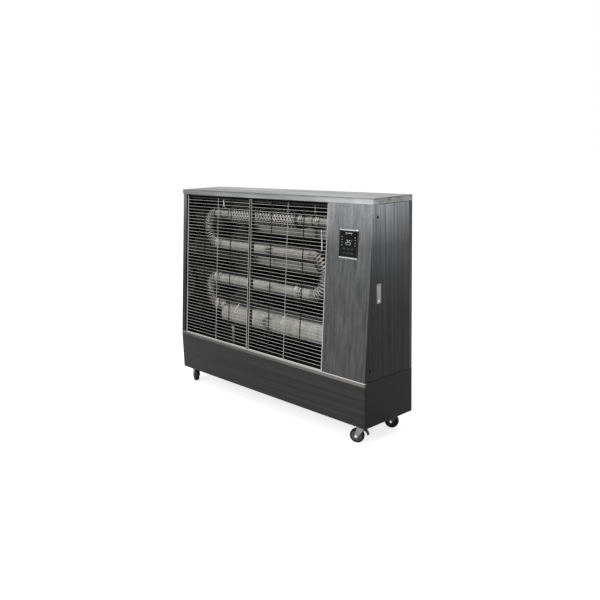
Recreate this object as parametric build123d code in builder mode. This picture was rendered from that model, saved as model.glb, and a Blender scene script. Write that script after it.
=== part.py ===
from build123d import *
import math
import os

# Free-standing oil-fired radiant tube heater on four casters.
# Millimetres, +Z up, front towards -Y, controls and service door on the +X side.
# The origin is on the floor, at the middle of the whole heater with its flue spigot.

# Casing
casing_width = 1314
casing_depth = 302
caster_height = 84
skirt_height = 179.6
sill_height = 18
grille_height = 718.4
lid_height = 24
lean_depth = 66
lid_overhang = 4
sheet = 1.5
corner_radius = 1.4
seam = 0.3
ledge_depth = 14
tray_flange = 30
rear_wrap = 20
side_rim_depth = 16
side_rim_inset = 3
deck_inset = 20
post_width = 27
return_depth = 14
strike_depth = 32
control_width = 252
header_height = 18
header_depth = 16
bulkhead_gap = 3
wall_gap = 1
notch_gap = 2
shield_gap = 28

# Grille
frame_bar = 5
frame_depth = 7
grille_recess = 1
grille_side_gap = 12
wire_radius = 1.6
wire_count = 43
stay_count = 3
mullion_gap = 6
mullion_width = 20
mullion_depth = 12

# Tube run
tube_setback = 141
chamber_rise = 114
chamber_radius = 72.5
chamber_wall = 3
chamber_dome = 26
chamber_end = 250
tube_wall = 2
middle_radius = 36.5
upper_radius = 35
exhaust_radius = 32
sleeve_radius = 40
sleeve_wall = 2
sleeve_start = 317
sleeve_end_gap = 78
sleeve_rows = 6
sleeve_columns = 6
sleeve_hole = 6.5
outlet_lift = 33
lower_bend_radius = 70
upper_bend_radius = 78.5
top_tube_drop = 95
lower_bend_start = 176
upper_bend_start = 202
right_bend_start = 180
bend_gores = 6
bend_sides = 12
rib_width = 9
rib_height = 2.5
collar_wall = 4
collar_gap = 0.1
collar_width = 40
hanger_radius = 4
reflector_setback = 27
reflector_sheet = 1

# Burner side
blast_radius = 48
blast_length = 52
burner_radius = 78
burner_width = 86
burner_wall = 3
scroll_sides = 20
burner_reach = 140
intake_radius = 36
wheel_radius = 60
wheel_width = 50
blade_count = 12
hub_inset = 6
shaft_radius = 4
shaft_depth = 12
motor_radius = 42
motor_length = 78
running_gap = 0.06
pump_size = 46
pump_height = 60
pump_body = 36
pump_head = 16
tank_width = 1150
tank_depth = 200
tank_height = 150
tank_wall = 1.5
tank_pad = 8
pad_width = 40
tank_end_gap = 12
neck_radius = 22
neck_height = 42
neck_from_side = 57
neck_from_back = 70
cap_radius = 29
cap_height = 16
cap_wall = 3
flue_radius = 37.5
flue_reach = 36
bead_height = 2
bead_width = 3
flue_bend = 52
elbow_gores = 4
flue_from_side = 150
gland_radius = 11
gland_bore = 4.5
gland_height = 46
louvre_rise = 270
louvre_rows = 10
louvre_width = 110
louvre_slot = 5
louvre_pitch = 14

# Control panel
control_from_side = 127
control_rise = 573.4
bezel_width = 104
bezel_height = 120
bezel_rim = 6
bezel_proud = 3
plate_lip = 3
plate_thickness = 2.5
button_width = 16
button_height = 9
button_pitch_x = 22
button_pitch_z = 17
button_gap = 0.3
button_proud = 0.7
button_travel = 0.8
button_drop = 29
board_gap = 6
board_depth = 42

# Service door, latch
door_gap = 1.7
door_pivot_inset = 6
pin_radius = 3
pin_reach = 10
bracket_sheet = 1.2
bracket_half = 9
latch_rise = 360
latch_width = 25
latch_height = 81
latch_from_front = 44
latch_depth = 15.5
lever_length = 58
lever_width = 19
lever_thickness = 3.4
lever_pivot_depth = 3.8
lever_pin = 1.5
lever_from_top = 5
pocket_depth = 11
latch_button_depth = 8
latch_button_radius = 4.5
latch_button_rise = 11
bolt_height = 12
bolt_thickness = 6
bolt_overlap = 8
stud_radius = 4
stud_from_front = 25
stud_low = 48
stud_high = 50

# Casters
caster_from_side = 57
caster_from_front = 39
caster_from_back = 39
tread_radius = 31.5
tread_width = 22
caster_trail = 19
mount_plate = 62
mount_sheet = 2.5
race_radius = 22
race_height = 8
crown_sheet = 3
crown_size = 42
leg_sheet = 2.5
leg_gap = 2.4
axle_radius = 4
kingpin_radius = 5
pedal_radius = 4.5
pedal_x = 8
pedal_drop = 10
pedal_sheet = 3
pedal_pin_radius = 2

# Planes and places worked out from the sizes above
half_width = casing_width / 2
front_y = -(casing_depth + flue_reach) / 2
back_y = front_y + casing_depth
base_z = caster_height
skirt_top = base_z + skirt_height
sill_top = skirt_top + sill_height
lid_z = sill_top + grille_height
deck_top = sill_top + sheet
lean_angle = math.degrees(math.atan2(lean_depth, lid_z - skirt_top))
strip_y = back_y - rear_wrap
tube_y = front_y + tube_setback
reflector_y = back_y - reflector_setback
control_left = half_width - control_width
bulkhead_x = control_left + bulkhead_gap
shield_x = -half_width + shield_gap
chamber_z = sill_top + chamber_rise
lower_z = chamber_z + outlet_lift
middle_z = lower_z + 2 * lower_bend_radius
top_z = lid_z - top_tube_drop
upper_z = top_z - 2 * upper_bend_radius
right_bend_radius = (upper_z - middle_z) / 2
lower_bend_x = -half_width + lower_bend_start
upper_bend_x = -half_width + upper_bend_start
right_bend_x = bulkhead_x - right_bend_start
chamber_x = -half_width + chamber_end
control_z = skirt_top + control_rise
latch_z = sill_top + latch_rise


def front_at(z):
    """Y of the leaning front face at height z."""
    return front_y + lean_depth * (z - skirt_top) / (lid_z - skirt_top)


def leaning(near, far, low, high):
    """YZ corners of a slab behind the front face, near to far, from low to high."""
    return [
        (front_at(low) + near, low),
        (front_at(low) + far, low),
        (front_at(high) + far, high),
        (front_at(high) + near, high),
    ]


def side_outline(front_inset, rear_y, low, high):
    """YZ corners of a side sheet whose front edge leans with the front face."""
    return [
        (front_at(low) + front_inset, low),
        (rear_y, low),
        (rear_y, high),
        (front_at(high) + front_inset, high),
    ]


def across(corners, left, right, mode=Mode.ADD):
    """Carry YZ corners from X = left to X = right."""
    with BuildSketch(Plane.YZ.offset(left)) as profile:
        Polygon(*corners, align=None)
    extrude(profile.sketch, amount=right - left, mode=mode)


def block(left, right, near, far, low, high, mode=Mode.ADD):
    """Rectangular block between two X, two Y and two Z limits."""
    with BuildSketch(Plane.XY.offset(low)) as profile:
        with Locations(((left + right) / 2, (near + far) / 2)):
            Rectangle(right - left, far - near)
    extrude(profile.sketch, amount=high - low, mode=mode)


def rod_x(y, z, radius, left, right, mode=Mode.ADD):
    """Round bar along X."""
    with BuildSketch(Plane.YZ.offset(left)) as profile:
        with Locations((y, z)):
            Circle(radius)
    extrude(profile.sketch, amount=right - left, mode=mode)


def rod_y(x, z, radius, near, far, mode=Mode.ADD):
    """Round bar along Y."""
    with BuildSketch(Plane.XZ.offset(-near)) as profile:
        with Locations((x, z)):
            Circle(radius)
    extrude(profile.sketch, amount=near - far, mode=mode)


def rod_z(x, y, radius, low, high, mode=Mode.ADD):
    """Round bar along Z."""
    with BuildSketch(Plane.XY.offset(low)) as profile:
        with Locations((x, y)):
            Circle(radius)
    extrude(profile.sketch, amount=high - low, mode=mode)


def facet_bar(plane, radius, sides, length, mode=Mode.ADD):
    """Bar of many flats, standing on plane and length long."""
    with BuildSketch(plane) as profile:
        RegularPolygon(radius, side_count=sides)
    extrude(profile.sketch, amount=length, mode=mode)


def along_x(left, z, turned=(0, 1, 0)):
    """Plane across the tube run at X = left and height z."""
    return Plane(origin=(left, tube_y, z), x_dir=turned, z_dir=(1, 0, 0))


def along_y(x, near, z):
    """Plane across the Y axis through (x, near, z)."""
    return Plane(origin=(x, near, z), x_dir=(1, 0, 0), z_dir=(0, 1, 0))


os.makedirs("parts", exist_ok=True)


def save(piece, name):
    """Label a finished piece and write it under its own name."""
    piece.part.label = name
    export_step(piece.part, f"parts/{name}.step")


# Base tray: folded box with a step for the sill rail and a flanged opening on top
def tray_outline(inset):
    """YZ outline of the tray, drawn in by inset."""
    return [
        (front_y + inset, base_z + inset),
        (back_y - inset, base_z + inset),
        (back_y - inset, sill_top - inset),
        (front_y + ledge_depth + inset, sill_top - inset),
        (front_y + ledge_depth + inset, skirt_top - inset),
        (front_y + inset, skirt_top - inset),
    ]


with BuildPart() as base_tray:
    across(tray_outline(0), -half_width, half_width)
    fillet(base_tray.edges().filter_by(Axis.Z).group_by(Axis.Y)[0], corner_radius)
    across(tray_outline(sheet), -half_width + sheet, half_width - sheet, Mode.SUBTRACT)
    block(
        -half_width + tray_flange,
        half_width - tray_flange,
        front_y + ledge_depth + tray_flange,
        back_y - tray_flange,
        sill_top - 2 * sheet,
        sill_top,
        Mode.SUBTRACT,
    )
save(base_tray, "base_tray")

# Deck plate lying on the tray's flange, with a hole for the filler neck
neck_x = half_width - neck_from_side
neck_y = back_y - neck_from_back
deck_front = front_y + ledge_depth + deck_inset
deck_back = back_y - rear_wrap - seam - sheet
with BuildPart() as deck_plate:
    block(-half_width + deck_inset, half_width - deck_inset, deck_front, deck_back, sill_top, deck_top)
    rod_z(neck_x, neck_y, neck_radius + 2, sill_top - sheet, deck_top + sheet, Mode.SUBTRACT)
save(deck_plate, "deck_plate")

# Sill rail: bright channel in the tray's step, under the grille and the control panel
with BuildPart() as sill_rail:
    across(leaning(0, ledge_depth - 3, skirt_top + seam, sill_top), -half_width, half_width)
    across(
        leaning(sheet, ledge_depth, skirt_top + seam + sheet, sill_top - sheet),
        -half_width + sheet,
        half_width - sheet,
        Mode.SUBTRACT,
    )
save(sill_rail, "sill_rail")

# Top lid: shallow pan turned upside down, its front edge proud of the leaning face
lid_front = front_at(lid_z) - lid_overhang
with BuildPart() as top_lid:
    block(-half_width, half_width, lid_front, back_y, lid_z, lid_z + lid_height)
    fillet(top_lid.edges().group_by(Axis.Z)[-1], corner_radius)
    block(
        -half_width + sheet,
        half_width - sheet,
        lid_front + sheet,
        back_y - sheet,
        lid_z,
        lid_z + lid_height - sheet,
        Mode.SUBTRACT,
    )
save(top_lid, "top_lid")


def side_sheet(skin_x, inner_x, rear_y, low, high, rim_front):
    """Flat side skin with a stiffening rim folded inwards, between skin_x and inner_x."""
    outward = math.copysign(1, skin_x)
    skin_inner = skin_x - outward * sheet
    skin = side_outline(0, rear_y, low, high)
    across(skin, min(skin_x, skin_inner), max(skin_x, skin_inner))
    rim = side_rim_inset
    outer = side_outline(rim_front, rear_y - rim, low + rim, high - rim)
    rim += sheet
    inner = side_outline(rim_front + sheet, rear_y - rim, low + rim, high - rim)
    rim_left, rim_right = sorted((skin_inner, inner_x))
    with BuildSketch(Plane.YZ.offset(rim_left)) as ring:
        Polygon(*outer, align=None)
        Polygon(*inner, align=None, mode=Mode.SUBTRACT)
    extrude(ring.sketch, amount=rim_right - rim_left)


# Left side panel, fixed
with BuildPart() as left_side_panel:
    side_sheet(
        -half_width,
        -half_width + sheet + side_rim_depth,
        strip_y - seam,
        sill_top + seam,
        lid_z - seam,
        return_depth + side_rim_inset,
    )
save(left_side_panel, "left_side_panel")


def folded_front(left, right, left_return, right_return):
    """Leaning front sheet between two X limits, with a folded return at each end."""
    low = sill_top + seam
    high = lid_z - seam
    across(leaning(0, sheet, low, high), left, right)
    across(leaning(0, left_return, low, high), left, left + sheet)
    across(leaning(0, right_return, low, high), right - sheet, right)


# Left front post
post_left = -half_width + sheet + seam
post_right = -half_width + post_width
with BuildPart() as left_front_post:
    folded_front(post_left, post_right, return_depth, return_depth)
save(left_front_post, "left_front_post")

# Control front panel: its right return is the strike that the door latch catches
panel_right = half_width - sheet - seam
control_x = half_width - control_from_side
face_normal = (0, -math.cos(math.radians(lean_angle)), math.sin(math.radians(lean_angle)))
control_centre = (control_x, front_at(control_z), control_z)
control_plane = Plane(origin=control_centre, x_dir=(1, 0, 0), z_dir=face_normal)
cutout_width = bezel_width - 2 * bezel_rim + 2 * sheet
cutout_height = bezel_height - 2 * bezel_rim + 2 * sheet
with BuildPart() as control_front_panel:
    folded_front(control_left, panel_right, return_depth, strike_depth)
    with BuildSketch(control_plane.offset(sheet)):
        Rectangle(cutout_width, cutout_height)
    extrude(amount=-4 * sheet, mode=Mode.SUBTRACT)
save(control_front_panel, "control_front_panel")

# Rear panel: pan that wraps round both rear corners, with louvres, flue and cable holes
flue_x = half_width - flue_from_side
gland_x = half_width - flue_from_side / 2
gland_z = sill_top + gland_height
louvre_x = (bulkhead_x + half_width) / 2
louvre_z = sill_top + louvre_rise
with BuildPart() as rear_panel:
    block(-half_width, half_width, strip_y, back_y, sill_top + seam, lid_z - seam)
    fillet(rear_panel.edges().filter_by(Axis.Z).group_by(Axis.Y)[-1], corner_radius)
    block(
        -half_width + sheet,
        half_width - sheet,
        strip_y,
        back_y - sheet,
        sill_top + seam + sheet,
        lid_z - seam - sheet,
        Mode.SUBTRACT,
    )
    with BuildSketch(Plane.XZ.offset(-back_y - sheet)):
        with Locations((louvre_x, louvre_z)):
            with GridLocations(1, louvre_pitch, 1, louvre_rows):
                Rectangle(louvre_width, louvre_slot)
        with Locations((flue_x, top_z)):
            Circle(flue_radius + bead_height + seam)
        with Locations((gland_x, gland_z)):
            Circle(gland_radius - 2)
    extrude(amount=4 * sheet, mode=Mode.SUBTRACT)
save(rear_panel, "rear_panel")

# Header rail under the lid, behind the post, the grilles and the control panel
header_near = return_depth + seam
header_low = lid_z - seam - header_height
header_left = -half_width + sheet + side_rim_depth + seam
with BuildPart() as header_rail:
    header = leaning(header_near, header_near + header_depth, header_low, lid_z - seam)
    across(header, header_left, panel_right - sheet - seam)
    hollow_high = lid_z - seam - sheet
    hollow = leaning(header_near + sheet, header_near + header_depth, header_low - sheet, hollow_high)
    across(hollow, header_left + sheet, panel_right - 2 * sheet - seam, Mode.SUBTRACT)
save(header_rail, "header_rail")

# Bulkhead between the tube chamber and the burner side
with BuildPart() as bulkhead:
    wall_rear = back_y - sheet - seam
    wall_high = lid_z - seam - sheet - wall_gap
    wall = side_outline(return_depth + side_rim_inset, wall_rear, deck_top, wall_high)
    across(wall, bulkhead_x, bulkhead_x + sheet)
    block(
        bulkhead_x,
        bulkhead_x + sheet,
        front_at(lid_z),
        front_at(lid_z) + header_near + header_depth + notch_gap,
        header_low - notch_gap,
        lid_z,
        Mode.SUBTRACT,
    )
    foot_high = deck_top + 2 * sheet
    block(bulkhead_x, bulkhead_x + sheet, strip_y - notch_gap, back_y, deck_top, foot_high, Mode.SUBTRACT)
    rod_x(tube_y, chamber_z, chamber_radius + seam, bulkhead_x, bulkhead_x + sheet, Mode.SUBTRACT)
    rod_x(tube_y, top_z, exhaust_radius + seam, bulkhead_x, bulkhead_x + sheet, Mode.SUBTRACT)
save(bulkhead, "bulkhead")

# End heat shield at the left of the tube chamber
shield_high = lid_z - header_height - notch_gap
with BuildPart() as end_heat_shield:
    shield_inset = return_depth + side_rim_inset + sheet
    shield = side_outline(shield_inset, reflector_y - reflector_sheet, deck_top, shield_high)
    across(shield, shield_x, shield_x + reflector_sheet)
save(end_heat_shield, "end_heat_shield")

# Polished reflector: one folded sheet, upright at the back with a lip below and above
reflector_left = shield_x + reflector_sheet + seam
reflector_right = bulkhead_x - seam
lip_front = front_y + ledge_depth + tray_flange
half_foil = reflector_sheet / 2
with BuildPart() as reflector:
    with BuildSketch(Plane.YZ.offset(reflector_left)):
        with BuildLine():
            Polyline(
                (lip_front, deck_top + half_foil),
                (reflector_y, deck_top + half_foil),
                (reflector_y, shield_high - half_foil),
                (tube_y, shield_high + half_foil + 4),
            )
        trace(line_width=reflector_sheet)
    extrude(amount=reflector_right - reflector_left)
save(reflector, "reflector")


def grille(left, right, name):
    """Welded wire grille: flat frame, horizontal wires in front, upright stays behind them."""
    low = sill_top + seam
    high = lid_z - 2 * seam - frame_bar
    near = grille_recess
    far = grille_recess + frame_depth
    with BuildPart() as panel:
        across(leaning(near, far, low, high), left, right)
        opening = leaning(near - 1, far + 1, low + frame_bar, high - frame_bar)
        across(opening, left + frame_bar, right - frame_bar, Mode.SUBTRACT)
    inner_low = low + frame_bar
    pitch = (high - low - 2 * frame_bar) / (wire_count + 1)
    heights = [inner_low + pitch * (step + 1) for step in range(wire_count)]
    wire_near = near + wire_radius
    with BuildPart() as wires:
        with BuildSketch(Plane.YZ.offset(left + frame_bar)):
            with Locations(*[(front_at(z) + wire_near, z) for z in heights]):
                RegularPolygon(wire_radius, side_count=4)
        extrude(amount=right - left - 2 * frame_bar)
    stay_near = wire_near + 2 * wire_radius
    foot = (0, front_at(inner_low) + stay_near, inner_low)
    head_z = high - frame_bar
    rise = Vector(0, front_at(head_z) - front_at(inner_low), head_z - inner_low)
    spacing = (right - left) / (stay_count + 1)
    with BuildPart() as stays:
        with BuildSketch(Plane(origin=foot, x_dir=(1, 0, 0), z_dir=rise)):
            with Locations(((left + right) / 2, 0)):
                with GridLocations(spacing, 1, stay_count, 1):
                    RegularPolygon(wire_radius, side_count=4)
        extrude(amount=rise.length)
    welded = Compound(label=name, children=[*panel.solids(), *wires.solids(), *stays.solids()])
    export_step(welded, f"parts/{name}.step")


grille_left_x = -half_width + post_width + grille_side_gap
grille_right_x = control_left - seam
grille_mid_x = (grille_left_x + grille_right_x) / 2
grille(grille_left_x, grille_mid_x - mullion_gap / 2, "grille_left")
grille(grille_mid_x + mullion_gap / 2, grille_right_x, "grille_right")

# Mullion: upright channel behind the meeting edges of the two grilles
mullion_near = grille_recess + frame_depth + seam
with BuildPart() as mullion:
    mullion_high = header_low - seam
    across(
        leaning(mullion_near, mullion_near + mullion_depth, deck_top, mullion_high),
        grille_mid_x - mullion_width / 2,
        grille_mid_x + mullion_width / 2,
    )
    across(
        leaning(mullion_near + sheet, mullion_near + mullion_depth + sheet, deck_top - 1, mullion_high + 1),
        grille_mid_x - mullion_width / 2 + sheet,
        grille_mid_x + mullion_width / 2 - sheet,
        Mode.SUBTRACT,
    )
save(mullion, "mullion")


# Tube run
def ribbed_bend(centre_x, centre_z, radius, tube_radius, start, name):
    """Half-turn bend in the XZ plane from angle start, bored, with ribs standing out of it."""

    def section(turn, size, ahead=0.0):
        """Section across the bend, turn degrees along it and ahead millimetres further on."""
        angle = math.radians(start + turn)
        out = Vector(math.cos(angle), 0, math.sin(angle))
        along = Vector(-math.sin(angle), 0, math.cos(angle))
        origin = Vector(centre_x, tube_y, centre_z) + out * radius + along * ahead
        with BuildSketch(Plane(origin=origin, x_dir=(0, 1, 0), z_dir=along)) as ring:
            RegularPolygon(size, side_count=bend_sides)
        return ring.sketch.face()

    turns = [180 * gore / bend_gores for gore in range(bend_gores + 1)]
    with BuildPart() as bend:
        loft([section(turn, tube_radius) for turn in turns], ruled=True)
        for rib in range(bend_gores):
            middle = (turns[rib] + turns[rib + 1]) / 2
            extrude(section(middle, tube_radius + rib_height, -rib_width / 2), amount=rib_width)
        loft([section(turn, tube_radius - tube_wall) for turn in turns], ruled=True, mode=Mode.SUBTRACT)
    save(bend, name)


lower_bend_z = lower_z + lower_bend_radius
upper_bend_z = upper_z + upper_bend_radius
right_bend_z = middle_z + right_bend_radius
ribbed_bend(lower_bend_x, lower_bend_z, lower_bend_radius, middle_radius, 90, "lower_left_bend")
ribbed_bend(upper_bend_x, upper_bend_z, upper_bend_radius, upper_radius, 90, "upper_left_bend")
ribbed_bend(right_bend_x, right_bend_z, right_bend_radius, middle_radius, -90, "right_bend")

# Combustion chamber: domed drum with an off-centre outlet and an open burner end
with BuildPart() as combustion_chamber:
    rod_x(tube_y, chamber_z, chamber_radius, chamber_x, bulkhead_x + 2 * sheet)
    chamfer(combustion_chamber.edges().filter_by(GeomType.CIRCLE).group_by(Axis.X)[0], chamber_dome)
    hollow_x = chamber_x + chamber_dome
    hollow_length = bulkhead_x + 2 * sheet - hollow_x
    hollow_radius = chamber_radius - chamber_wall
    drum_plane = along_x(hollow_x, chamber_z)
    facet_bar(drum_plane, hollow_radius, 2 * bend_sides, hollow_length, Mode.SUBTRACT)
    rod_x(tube_y, lower_z, middle_radius, lower_bend_x, hollow_x)
    outlet_length = hollow_x - lower_bend_x + 1
    outlet_plane = along_x(lower_bend_x, lower_z)
    facet_bar(outlet_plane, middle_radius - tube_wall, bend_sides, outlet_length, Mode.SUBTRACT)
save(combustion_chamber, "combustion_chamber")


def pipe(z, radius, left, right, wall=tube_wall):
    """Straight round pipe along X at the tube run's depth."""
    rod_x(tube_y, z, radius, left, right)
    facet_bar(along_x(left, z), radius - wall, 2 * bend_sides, right - left, Mode.SUBTRACT)


with BuildPart() as middle_tube:
    pipe(middle_z, middle_radius, lower_bend_x, right_bend_x)
save(middle_tube, "middle_tube")

with BuildPart() as upper_tube:
    pipe(upper_z, upper_radius, upper_bend_x, right_bend_x)
save(upper_tube, "upper_tube")

# Exhaust tube: along the top, through the bulkhead, then round an elbow to the flue spigot
elbow_x = flue_x - flue_bend


def elbow_section(turn, size):
    """Section of the elbow, turned from +X towards +Y."""
    angle = math.radians(turn)
    along = Vector(math.cos(angle), math.sin(angle), 0)
    shift = flue_bend * Vector(math.sin(angle), 1 - math.cos(angle), 0)
    origin = Vector(elbow_x, tube_y, top_z) + shift
    with BuildSketch(Plane(origin=origin, x_dir=(0, 0, 1), z_dir=along)) as ring:
        RegularPolygon(size, side_count=bend_sides)
    return ring.sketch.face()


with BuildPart() as exhaust_tube:
    turns = [90 * gore / elbow_gores for gore in range(elbow_gores + 1)]
    rod_x(tube_y, top_z, exhaust_radius, upper_bend_x, elbow_x)
    loft([elbow_section(turn, exhaust_radius) for turn in turns], ruled=True)
    with BuildSketch(Plane.XZ.offset(-tube_y - flue_bend)):
        with Locations((flue_x, top_z)):
            RegularPolygon(exhaust_radius, side_count=bend_sides, rotation=90)
    extrude(amount=tube_y + flue_bend - reflector_y)
    run = elbow_x - upper_bend_x
    bore = exhaust_radius - tube_wall
    facet_bar(along_x(upper_bend_x, top_z, (0, 0, 1)), bore, bend_sides, run, Mode.SUBTRACT)
    loft([elbow_section(turn, bore) for turn in turns], ruled=True, mode=Mode.SUBTRACT)
    with BuildSketch(Plane.XZ.offset(-tube_y - flue_bend)):
        with Locations((flue_x, top_z)):
            RegularPolygon(exhaust_radius - tube_wall, side_count=bend_sides, rotation=90)
    extrude(amount=tube_y + flue_bend - reflector_y, mode=Mode.SUBTRACT)
save(exhaust_tube, "exhaust_tube")

def collar_hole(radius):
    """Hole of many flats that just clears a round tube."""
    size = radius + collar_gap
    RegularPolygon(size, side_count=bend_sides, major_radius=False, mode=Mode.SUBTRACT)


# Perforated sleeve round the exhaust tube, carried on an end ring at each end
sleeve_x = -half_width + sleeve_start
sleeve_length = right_bend_x - sleeve_end_gap - sleeve_x
with BuildPart() as perforated_sleeve:
    with BuildSketch(Plane.YZ.offset(sleeve_x)):
        with Locations((tube_y, top_z)):
            RegularPolygon(sleeve_radius, side_count=2 * sleeve_rows, rotation=90 / sleeve_rows)
            RegularPolygon(
                sleeve_radius - sleeve_wall,
                side_count=2 * sleeve_rows,
                rotation=90 / sleeve_rows,
                mode=Mode.SUBTRACT,
            )
    extrude(amount=sleeve_length)
    hole_pitch = sleeve_length / (sleeve_columns + 1)
    for row in range(sleeve_rows):
        angle = 360 / sleeve_rows * row
        out = Vector(0, math.cos(math.radians(angle)), math.sin(math.radians(angle)))
        centre = Vector(sleeve_x + sleeve_length / 2 + hole_pitch / 4 * (-1) ** row, tube_y, top_z)
        start = centre + out * (sleeve_radius / 2)
        with BuildSketch(Plane(origin=start, x_dir=(1, 0, 0), z_dir=out)) as holes:
            with GridLocations(hole_pitch, 1, sleeve_columns, 1):
                RegularPolygon(sleeve_hole, side_count=4, rotation=45)
        extrude(holes.sketch, amount=sleeve_radius, mode=Mode.SUBTRACT)
    for ring_x in (sleeve_x, sleeve_x + sleeve_length - tube_wall):
        with BuildSketch(Plane.YZ.offset(ring_x)) as end_ring:
            with Locations((tube_y, top_z)):
                RegularPolygon(sleeve_radius - sleeve_wall / 2, side_count=bend_sides)
                collar_hole(exhaust_radius)
        extrude(end_ring.sketch, amount=tube_wall)
save(perforated_sleeve, "perforated_sleeve")


# Collars over the joints of the run, as one set
def collar(z, radius, centre_x, width):
    """Ring clamped round a tube."""
    with BuildSketch(Plane.YZ.offset(centre_x - width / 2)) as ring:
        with Locations((tube_y, z)):
            RegularPolygon(radius + 2 * collar_wall, side_count=bend_sides)
            collar_hole(radius)
    extrude(ring.sketch, amount=width)


half_collar = collar_width / 2
with BuildPart() as tube_collars:
    collar(upper_z, upper_radius, upper_bend_x + half_collar, collar_width)
    collar(middle_z, middle_radius, lower_bend_x + half_collar, collar_width)
    collar(middle_z, middle_radius, right_bend_x - 2 * collar_width, collar_width)
    collar(lower_z, middle_radius, lower_bend_x + half_collar, collar_width)
    collar(top_z, exhaust_radius, sleeve_x + sleeve_length + 1.5 * half_collar, half_collar)
    collar(top_z, exhaust_radius, bulkhead_x - 3 * collar_width, half_collar)
save(tube_collars, "tube_collars")

# Hangers from the header down to the exhaust tube, links between tubes, saddles under the chamber
hanger_x = upper_bend_x + collar_width
link_x = right_bend_x + half_collar
with BuildPart() as tube_supports:
    collar(top_z, exhaust_radius, hanger_x, half_collar)
    collar(top_z, exhaust_radius, link_x, half_collar)
    rod_low = top_z + exhaust_radius + collar_wall / 2
    for rod_at in (hanger_x, link_x):
        with BuildSketch(Plane.XY.offset(rod_low)) as hanger:
            with Locations((rod_at, tube_y)):
                RegularPolygon(hanger_radius, side_count=6)
        extrude(hanger.sketch, amount=shield_high + 2 - rod_low)
    for saddle_x in (chamber_x + 2 * collar_width, bulkhead_x - 2 * collar_width):
        block(
            saddle_x - half_collar / 2,
            saddle_x + half_collar / 2,
            tube_y - chamber_radius * 0.8,
            tube_y + chamber_radius * 0.8,
            deck_top + reflector_sheet,
            chamber_z - chamber_radius / 2,
        )
        drum_hole = chamber_radius + collar_gap
        rod_x(tube_y, chamber_z, drum_hole, saddle_x - half_collar, saddle_x + half_collar, Mode.SUBTRACT)
save(tube_supports, "tube_supports")

# Flue spigot on the rear panel: beaded tube with a square flange inside the panel
with BuildPart() as flue_spigot:
    rod_y(flue_x, top_z, flue_radius, reflector_y, back_y + flue_reach)
    rod_y(flue_x, top_z, flue_radius + bead_height, back_y - sheet, back_y + bead_width)
    block(
        flue_x - flue_radius - 12,
        flue_x + flue_radius + 12,
        back_y - 2 * sheet,
        back_y - sheet,
        top_z - flue_radius - 12,
        top_z + flue_radius + 12,
    )
    spigot_length = back_y + flue_reach - reflector_y
    spigot_plane = along_y(flue_x, reflector_y, top_z)
    facet_bar(spigot_plane, flue_radius - tube_wall, 2 * bend_sides, spigot_length, Mode.SUBTRACT)
save(flue_spigot, "flue_spigot")

# Cable gland low on the rear panel
with BuildPart() as cable_gland:
    with BuildSketch(Plane.XZ.offset(-back_y)) as nut:
        with Locations((gland_x, gland_z)):
            RegularPolygon(gland_radius, side_count=6)
    extrude(nut.sketch, amount=-8)
    rod_y(gland_x, gland_z, gland_bore, back_y, back_y + 8, Mode.SUBTRACT)
save(cable_gland, "cable_gland")

# Burner: blast tube on the bulkhead, scroll housing, blower wheel on the motor's shaft
burner_x = bulkhead_x + burner_reach
burner_near = tube_y - burner_width / 2
burner_far = tube_y + burner_width / 2
scroll_left = bulkhead_x + blast_length
with BuildPart() as blast_tube:
    with BuildSketch(Plane.YZ.offset(bulkhead_x - 30)):
        with Locations((tube_y, chamber_z)):
            RegularPolygon(blast_radius, side_count=scroll_sides)
    extrude(amount=blast_length + 30)
    with BuildSketch(Plane.YZ.offset(bulkhead_x + 2 * sheet)):
        with Locations((tube_y, chamber_z)):
            RegularPolygon(chamber_radius + 12, side_count=8, rotation=22.5)
    extrude(amount=2 * sheet)
    with BuildSketch(Plane.YZ.offset(bulkhead_x - 30)):
        with Locations((tube_y, chamber_z)):
            RegularPolygon(blast_radius - burner_wall, side_count=scroll_sides)
    extrude(amount=blast_length + 30, mode=Mode.SUBTRACT)
save(blast_tube, "blast_tube")

with BuildPart() as burner_housing:
    with BuildSketch(Plane.XZ.offset(-burner_near)):
        with Locations((burner_x, chamber_z)):
            RegularPolygon(burner_radius, side_count=scroll_sides)
        with Locations((scroll_left + 10, chamber_z)):
            Rectangle(20, 2 * blast_radius)
        make_hull()
    extrude(amount=-burner_width)
    with BuildSketch(Plane.XZ.offset(-burner_near - burner_wall)):
        with Locations((burner_x, chamber_z)):
            RegularPolygon(burner_radius - burner_wall, side_count=scroll_sides)
        with Locations((scroll_left + 10, chamber_z)):
            Rectangle(20 - 2 * burner_wall, 2 * blast_radius - 2 * burner_wall)
        make_hull()
    extrude(amount=2 * burner_wall - burner_width, mode=Mode.SUBTRACT)
    intake = along_y(burner_x, burner_near, chamber_z)
    shaft_hole = along_y(burner_x, burner_far - burner_wall, chamber_z)
    outlet = along_x(scroll_left, chamber_z)
    facet_bar(intake, intake_radius, scroll_sides, burner_wall, Mode.SUBTRACT)
    facet_bar(shaft_hole, 2 * shaft_radius, scroll_sides // 2, burner_wall, Mode.SUBTRACT)
    facet_bar(outlet, blast_radius - 2 * burner_wall, scroll_sides, burner_wall, Mode.SUBTRACT)
save(burner_housing, "burner_housing")

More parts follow.
